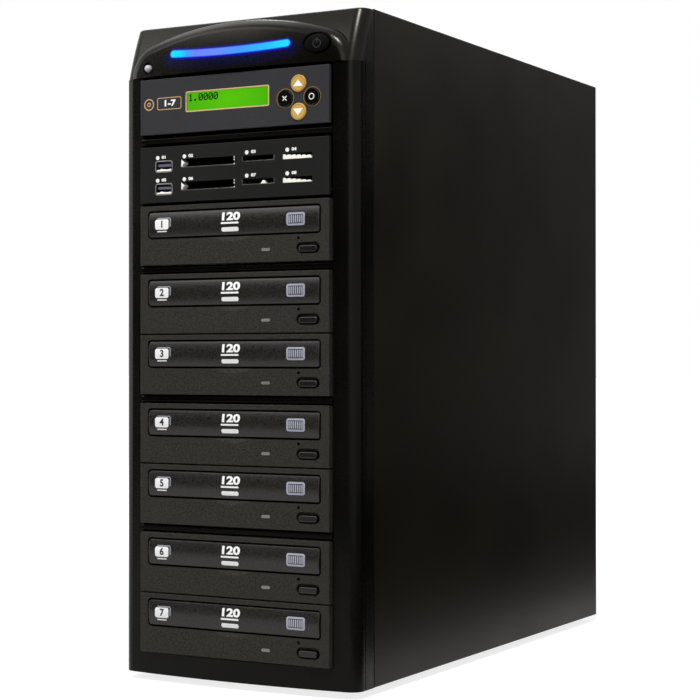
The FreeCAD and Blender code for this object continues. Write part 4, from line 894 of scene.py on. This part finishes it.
def slot_guides(cream):
    """Pale card guides at the ends of the large slots, and a pale tab in the lower medium slot."""
    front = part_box("card_reader_face")[0].y + 0.3 * MM
    guide_depth = 6
    tab_depth = 4
    slot_half = 21.4
    stop_width = 0.9
    left = LARGE_SLOT_X - slot_half
    right = LARGE_SLOT_X + slot_half
    wedge = [
        (left, -2.2), (left + 1.1, -2.0), (left + 1.3, -0.6),
        (left + 2.7, 0.5), (left + 1.3, 1.4), (left, 2.8),
    ]
    bars = [reader_bar(wedge, front, guide_depth)]
    for low, high in ((1.9, 2.8), (0.1, 0.9), (-2.6, -1.8)):
        bars.append(reader_bar(strip(right - stop_width, right, low, high), front, guide_depth))
    piece = in_both_rows("slot_guides", join("guides", bars))
    tab_x = MEDIUM_SLOT_X + 4.0
    tab_outline = [(tab_x - 2.4, -1.4), (tab_x + 2.4, -1.4), (tab_x + 0.4, 1.2), (tab_x - 0.4, 1.2)]
    tab = reader_bar(tab_outline, front, tab_depth)
    return dress(join("slot_guides", [piece, tab]), "case", cream)


def slot_edges(nickel):
    """Thin metal edges: a lip under each large slot, and a frame in each medium slot."""
    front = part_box("card_reader_face")[0].y + 0.1 * MM
    depth = 5
    large_half = 21.45
    medium_half = 12.55
    sill_top = -0.95
    side_top = 2.1
    side_width = 0.45
    left = MEDIUM_SLOT_X - medium_half
    right = MEDIUM_SLOT_X + medium_half
    outlines = [
        strip(LARGE_SLOT_X - large_half, LARGE_SLOT_X + large_half, low=-2.95, high=-2.4),
        strip(left, right, low=-1.4, high=sill_top),
        strip(left, left + side_width, sill_top, side_top),
        strip(right - side_width, right, sill_top, side_top),
    ]
    bars = [reader_bar(outline, front, depth) for outline in outlines]
    return dress(in_both_rows("slot_edges", join("edges", bars)), "case", nickel)


def port_springs(cream):
    """Pale spring plates in the floors of the two ports at the left, raised in the middle."""
    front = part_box("reader_sockets")[0].y
    depth = 10
    floor = -4.5
    half = 5.8
    plate = [
        (PORT_X - half, floor), (PORT_X + half, floor), (PORT_X + half, floor + 1.3),
        (PORT_X + 3.0, floor + 1.1), (PORT_X - 1.2, floor + 1.2), (PORT_X - 2.2, floor + 1.7),
        (PORT_X - 3.2, floor + 1.0), (PORT_X - half, floor + 0.9),
    ]
    piece = in_both_rows("port_springs", reader_bar(plate, front, depth))
    return dress(piece, "case", cream)


# Marks on the tray doors


def door_marks(white, lilac, dark):
    """Plain marks on every door: its number on a white tab, the disc size over a bar, and framed ticks."""
    low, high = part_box("drive_1_door")
    middle = (low.z + high.z) / 2
    front = low.y
    tab_x = -56.0 * MM
    tab_z = middle + 0.2 * MM
    size_x = -1.4 * MM
    ticks_x = 49.4 * MM
    tick_pitch = 1.6 * MM
    tick_places = range(-3, 4)

    signs = lay_on(join("door_1_signs", [
        rounded_patch("tab", tab_x, tab_z, front, width=11.0 * MM, height=7.0 * MM, corner=1.6 * MM),
        rounded_patch("tab_line", tab_x, middle - 4.6 * MM, front,
                      width=7.6 * MM, height=0.8 * MM, corner=0.2 * MM),
        numeral("size", "120", size_x, middle + 3.6 * MM, front,
                height=5.2 * MM, weight=0.3 * MM, stretch=1.45),
        rounded_patch("size_line", size_x, middle - 0.6 * MM, front,
                      width=14.0 * MM, height=1.2 * MM, corner=0.5 * MM),
        rounded_patch("bar", size_x, middle - 4.9 * MM, front,
                      width=13.4 * MM, height=2.9 * MM, corner=1.2 * MM),
    ]), "drive_1_door", front)
    marks = [
        rounded_patch("frame", ticks_x, tab_z, front,
                      width=14.0 * MM, height=8.6 * MM, corner=1.6 * MM, line=1.3 * MM),
        rounded_patch("tab_shade", tab_x + 1.5 * MM, middle + 4.4 * MM, front,
                      width=10.4 * MM, height=0.7 * MM, corner=0.3 * MM),
        rounded_patch("tab_side", tab_x + 6.9 * MM, middle + 1.2 * MM, front,
                      width=0.8 * MM, height=5.6 * MM, corner=0.3 * MM),
    ]
    for place in tick_places:
        x = ticks_x + place * tick_pitch
        marks.append(rounded_patch("tick", x, tab_z, front,
                                   width=1.0 * MM, height=5.0 * MM, corner=0.25 * MM))
    ticks = lay_on(join("door_1_ticks", marks), "drive_1_door", front)

    for number in DRIVES:
        door = f"drive_{number}_door"
        body = f"drive_{number}_loader"
        offset = Vector((0, 0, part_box(door)[0].z - low.z))
        if number > 1:
            dress(moved_copy(signs, f"door_{number}_signs", offset), body, white)
            dress(moved_copy(ticks, f"door_{number}_ticks", offset), body, lilac)
        digit = numeral(f"door_{number}_number", str(number), tab_x, tab_z + offset.z, front - INK,
                        height=4.8 * MM, weight=0.2 * MM)
        dress(lay_on(digit, door, front), body, dark)
    dress(signs, "drive_1_loader", white)
    dress(ticks, "drive_1_loader", lilac)


# Rear fittings

REAR_FACE = 221.0 * MM


def turned_blank(name, radius, depth, start, sides):
    """A cylinder along Y from its start plane, centred on X = Z = 0."""
    choose()
    bpy.ops.mesh.primitive_cylinder_add(vertices=sides, radius=radius, depth=depth,
                                        location=(0, start + depth / 2, 0), rotation=FACING_FRONT)
    return settled(name)


def knurled_thumbscrews(nickel):
    """Four thumbscrews with knurled grips, dished and slotted at the end."""
    collar_depth = 1.2 * MM
    shank_depth = 8 * MM
    slot_half = Vector((2.9, 0, 0.5)) * MM
    slot_depth = 1.5 * MM
    start = REAR_FACE + collar_depth
    end = cad_high.y
    grip = turned_blank("grip", radius=5.0 * MM, depth=end - start, start=start, sides=48)
    pick_faces(grip, lambda face: abs(face.normal.y) < 0.5 and face.index % 2 == 0)
    bpy.ops.mesh.inset(thickness=0.08 * MM, depth=-0.35 * MM, use_individual=True)
    bpy.ops.object.mode_set(mode="OBJECT")
    pick_faces(grip, lambda face: face.normal.y > 0.9 and face.center.y > end - 0.01 * MM)
    bpy.ops.mesh.inset(thickness=0.9 * MM)
    bpy.ops.mesh.inset(thickness=0.3 * MM, depth=-0.35 * MM)
    bpy.ops.object.mode_set(mode="OBJECT")
    slot_middle = Vector((0, end, 0))
    slot = block("slot", slot_middle - slot_half - Vector((0, slot_depth, 0)),
                 slot_middle + slot_half + Vector((0, 1 * MM, 0)))
    grip = carve(grip, slot)
    collar = turned_blank("collar", radius=4.2 * MM, depth=collar_depth, start=REAR_FACE, sides=32)
    shank = turned_blank("shank", radius=1.7 * MM, depth=shank_depth, start=REAR_FACE - shank_depth, sides=24)
    model = soften(join("thumbscrew", [grip, collar, shank]), width=0.12 * MM, segments=1)
    offsets = []
    for x in (-85, 85):
        for z in (130, 390):
            offsets.append(Vector((x, 0, z)) * MM)
    piece = dress(copies_of("knurled_thumbscrews", model, offsets), "case", nickel)
    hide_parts("panel_thumbscrews")


def cross_screws(nickel):
    """Sixteen rear screws with domed heads and cross recesses: one modelled, the rest copied."""
    head_depth = 2.0 * MM
    recess_depth = 0.9 * MM
    shank_depth = 1 * MM
    head = turned_blank("head", radius=3.0 * MM, depth=head_depth, start=0, sides=32)
    pick_faces(head, lambda face: face.normal.y > 0.9)
    bpy.ops.mesh.bevel(offset=0.9 * MM, segments=4)
    bpy.ops.object.mode_set(mode="OBJECT")
    for half_x, half_z in ((1.5, 0.35), (0.35, 1.5)):
        half = Vector((half_x, 0, half_z)) * MM
        floor = Vector((0, head_depth - recess_depth, 0))
        above = Vector((0, head_depth + recess_depth, 0))
        head = carve(head, block("recess", floor - half, above + half))
    shank = turned_blank("shank", radius=1.5 * MM, depth=shank_depth, start=-shank_depth, sides=16)
    model = soften(join("screw", [head, shank]), width=0.05 * MM, segments=1)
    supply_wall = 220
    offsets = []
    for x in (-72.2, 70.5):
        for z in (14, 84):
            offsets.append(Vector((x, supply_wall, z)) * MM)
    # The upper and lower case fans, then the supply's fan: middle, and the plane under the screw heads
    fan_hole = 35.75
    for x, z, wall in ((0, 265, 221.6), (0, 165, 221.6), (-28, 49, 220.6)):
        for side in (-fan_hole, fan_hole):
            for rise in (-fan_hole, fan_hole):
                offsets.append(Vector((x + side, wall, z + rise)) * MM)
    piece = dress(copies_of("cross_screws", model, offsets), "case", nickel)
    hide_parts("case_screws")


def inlet_pins(nickel):
    """Nickel sleeves over the three pins of the mains inlet."""
    half = Vector((1.06, 0, 2.06))
    root = 201
    tip = 215.1
    sleeves = []
    for x, z in ((39, 33), (53, 33), (46, 37)):
        low = (Vector((x, root, z)) - half) * MM
        high = (Vector((x, tip, z)) + half) * MM
        sleeves.append(soften(block("sleeve", low, high), width=0.3 * MM))
    return dress(join("inlet_pins", sleeves), "case", nickel)


def vent_filter(foam):
    """Foam dust pad on the inside of the rear wall, over the vent slots and pressed thin along its border."""
    low = Vector((-57, 217.4, 327)) * MM
    high = Vector((57, 218.95, 418)) * MM
    border = 4 * MM
    slope = 1.5 * MM
    swell = 2.4 * MM
    pad = block("vent_filter", low, high)
    pick_faces(pad, lambda face: face.normal.y < -0.9)
    bpy.ops.mesh.inset(thickness=border)
    bpy.ops.mesh.inset(thickness=slope, depth=swell)
    bpy.ops.object.mode_set(mode="OBJECT")
    soften(pad, width=0.4 * MM)
    return dress(pad, "case", foam)


# Stage, light and camera


def main_stage():
    """Room, floor, flags and lights."""
    studio_world()
    studio_floor()
    above_floor = 0.001
    black_flag("right_flag", (2.5, 2.75, 0.45), (0.1, 0, 0.45), width=4.4, height=1.6)
    black_flag("left_flag", (-1.7, -3.2, 0.75), (0, -0.2, 0.75), width=5.0, height=2.5)
    black_flag("front_floor_flag", (-1.0, -2.2, above_floor), (-1.0, -2.2, 1), width=3.6, height=2.6)
    black_flag("right_floor_flag", (1.58, 1.0, above_floor), (1.58, 1.0, 1), width=2.84, height=3.6)
    softbox("key_softbox", (0.75, -2.05, 1.0), width=1.2, height=1.0, watts=6)
    softbox("front_softbox", (-1.23, -1.54, 1.69), width=1.05, height=0.8, watts=11)
    softbox("corner_softbox", (0.49, -1.08, 1.84), width=0.3, height=0.3, watts=28)
    softbox("left_softbox", (-2.1, -0.95, 0.6), width=0.9, height=1.2, watts=12)
    softbox("brow_softbox", (-0.95, -0.15, 1.95), width=1.3, height=1.0, watts=8)
    softbox("rear_softbox", (-0.8, 2.2, 1.4), width=1.2, height=1.2, watts=18)


def seen_by_eye(tree):
    """One where the stage is seen directly, reflected or through something clear, nought for fill light."""
    path = add(tree, "ShaderNodeLightPath")
    seen = add(tree, "ShaderNodeMath", {"operation": "MAXIMUM"}, {
        0: path.outputs["Is Camera Ray"], 1: path.outputs["Is Glossy Ray"]})
    shown = add(tree, "ShaderNodeMath", {"operation": "MAXIMUM"}, {
        0: seen.outputs[0], 1: path.outputs["Is Transmission Ray"]})
    return shown.outputs[0]


def studio_world():
    """Even grey light, and plain white wherever the background is seen by eye."""
    fill_strength = 0.26
    world = bpy.data.worlds.new("studio")
    bpy.context.scene.world = world
    world.use_nodes = True
    tree = world.node_tree
    tree.nodes.clear()
    fill = add(tree, "ShaderNodeBackground", inputs={"Color": linear(WHITE), "Strength": fill_strength})
    white = add(tree, "ShaderNodeBackground", inputs={"Color": linear(WHITE), "Strength": 1.0})
    mix = add(tree, "ShaderNodeMixShader", inputs={
        0: seen_by_eye(tree), 1: fill.outputs[0], 2: white.outputs[0]})
    add(tree, "ShaderNodeOutputWorld", inputs={"Surface": mix.outputs[0]})


def studio_floor():
    """Pale floor that reads as white and still takes the object's shadow."""
    floor_size = 40
    shade_reach = 0.4
    white_reach = 1.1
    choose()
    bpy.ops.mesh.primitive_plane_add(size=floor_size, location=(0, 0, cad_low.z))
    floor = bpy.context.object
    floor.name = "studio_floor"
    material = bpy.data.materials.new("pale_studio_floor")
    material.use_nodes = True
    tree = material.node_tree
    tree.nodes.clear()
    place = add(tree, "ShaderNodeTexCoord").outputs["Object"]
    reach = add(tree, "ShaderNodeVectorMath", {"operation": "LENGTH"}, {0: place})
    strength = add(tree, "ShaderNodeMapRange", inputs={
        "Value": reach.outputs["Value"], "From Min": shade_reach, "From Max": white_reach,
        "To Min": 0.8, "To Max": 1.02})
    glow = add(tree, "ShaderNodeEmission", inputs={"Color": linear(WHITE), "Strength": strength.outputs[0]})
    paint = add(tree, "ShaderNodeBsdfDiffuse", inputs={"Color": linear("#9a9a9a")})
    lit = add(tree, "ShaderNodeAddShader", inputs={0: glow.outputs[0], 1: paint.outputs[0]})
    mix = add(tree, "ShaderNodeMixShader", inputs={
        0: seen_by_eye(tree), 1: paint.outputs[0], 2: lit.outputs[0]})
    add(tree, "ShaderNodeOutputMaterial", inputs={"Surface": mix.outputs[0]})
    floor.data.materials.append(material)


def black_flag(name, location, facing, *, width, height):
    """Black studio flag out of view, which only the reflections in the dark panels see."""
    choose()
    bpy.ops.mesh.primitive_plane_add(size=1, location=location)
    flag = bpy.context.object
    flag.name = name
    flag.scale = (width, height, 1)
    flag.rotation_euler = (Vector(facing) - Vector(location)).to_track_quat("Z", "Y").to_euler()
    material = bpy.data.materials.new("black_flock")
    material.use_nodes = True
    tree = material.node_tree
    feed(tree, tree.nodes["Principled BSDF"], {
        "Base Color": linear("#060606"), "Roughness": 1.0, "Specular IOR Level": 0.0})
    flag.data.materials.append(material)
    flag.visible_camera = False
    flag.visible_diffuse = False
    flag.visible_shadow = False


def softbox(name, location, *, width, height, watts):
    """Rectangular studio light aimed at the middle of the tower."""
    light = bpy.data.lights.new(name, "AREA")
    light.shape = "RECTANGLE"
    light.size = width
    light.size_y = height
    light.energy = watts
    lamp = bpy.data.objects.new(name, light)
    lamp.location = location
    middle = (cad_low + cad_high) / 2
    lamp.rotation_euler = (middle - Vector(location)).to_track_quat("-Z", "Y").to_euler()
    bpy.context.collection.objects.link(lamp)


def photo_camera():
    """Camera at the photograph's viewpoint: almost level, right of the front, at half the tower's height."""
    frame_px = 700
    focal_px = 1880.0
    centre_px = 270.0
    turn = math.radians(30.2)
    tilt = math.radians(0.29)
    data = bpy.data.cameras.new("photo_camera")
    data.sensor_width = 36
    data.lens = focal_px * data.sensor_width / frame_px
    data.shift_x = (frame_px / 2 - centre_px) / frame_px
    camera = bpy.data.objects.new("photo_camera", data)
    camera.location = (0.6574, -1.3028, 0.2219)
    look = Vector((-math.sin(turn) * math.cos(tilt), math.cos(turn) * math.cos(tilt), math.sin(tilt)))
    camera.rotation_euler = look.to_track_quat("-Z", "Y").to_euler()
    bpy.context.collection.objects.link(camera)
    bpy.context.scene.camera = camera


def paint_nodes(material, names):
    """Give carried-over nodes their finished material."""
    for name in names:
        mesh = nodes[name].data
        mesh.materials.clear()
        mesh.materials.append(material)


def main():
    nickel = nickel_plate()
    nylon = moulded_nylon()
    small = satin_abs_small()
    white = white_ink()

    paint_nodes(powder_coated_steel(), [
        "left_side_panel", "right_side_panel", "top_panel", "rear_panel", "base_pan"])
    paint_nodes(satin_abs_bezel(), ["front_bezel"])
    paint_nodes(lit_crown(), ["crown"])
    paint_nodes(spark_textured_abs(), ["drive_bezels"])
    paint_nodes(satin_abs_door(), [f"drive_{number}_door" for number in DRIVES])
    paint_nodes(small, [f"drive_{number}_eject_button" for number in DRIVES])
    paint_nodes(small, [f"drive_{number}_tray" for number in DRIVES])
    paint_nodes(smoked_light_pipe(), ["drive_lamps"])
    paint_nodes(printed_overlay(), ["control_panel"])
    paint_nodes(matt_abs_reader(), ["card_reader_face"])
    paint_nodes(socket_housings(), ["reader_sockets"])
    paint_nodes(nylon, ["drive_decks", "fan_frames", "power_inlet", "power_rocker"])
    paint_nodes(nylon, ["upper_fan_rotor", "lower_fan_rotor", "psu_fan_rotor"])
    paint_nodes(lamp_caps(), ["indicator_lamps"])
    paint_nodes(lit_display(), ["display_module"])
    paint_nodes(lit_light_bar(), ["light_bar"])
    paint_nodes(polished_abs_button(), ["power_button", "key_back", "key_enter"])
    paint_nodes(gold_lacquer(), ["key_up", "key_down"])
    paint_nodes(zinc_plated_steel(), ["drive_cases", "psu_case"])
    # Cage and bay trays: zinc darkened as painted shade for the gaps between the drives.
    paint_nodes(black_zinc(), ["drive_cage", "bay_trays"])
    paint_nodes(nickel, ["case_screws", "panel_thumbscrews", "fan_guards"])
    paint_nodes(solder_mask_board(), ["circuit_boards", "crown_board"])
    paint_nodes(sleeved_cable(), ["data_cables", "power_harness"])
    paint_nodes(foot_rubber(), ["feet"])

    pale_gold = pale_gold_ink()
    display_surround(pale_gold)
    display_digits("1.0000", display_ink())
    panel_legend(pale_gold, white)
    key_arrow("key_up", 1, white)
    key_arrow("key_down", -1, white)
    dull_gold = dull_gold_ink()
    for node in ("key_back", "key_enter"):
        key_ring(node, dull_gold)
    for node in ("key_up", "key_down"):
        key_border(node, dull_gold)
    key_cross(white)
    key_circle(white)
    power_symbol(graphite_ink())
    reader_numbers(white)
    cream = cream_nylon()
    slot_contacts(cream)
    slot_guides(cream)
    slot_edges(worn_nickel())
    port_springs(cream)
    door_marks(white, lilac_ink(), dark_ink())
    knurled_thumbscrews(nickel)
    cross_screws(nickel)
    inlet_pins(nickel)
    vent_filter(filter_foam())

    bpy.context.scene.view_settings.view_transform = "Standard"
    main_stage()
    photo_camera()


main()
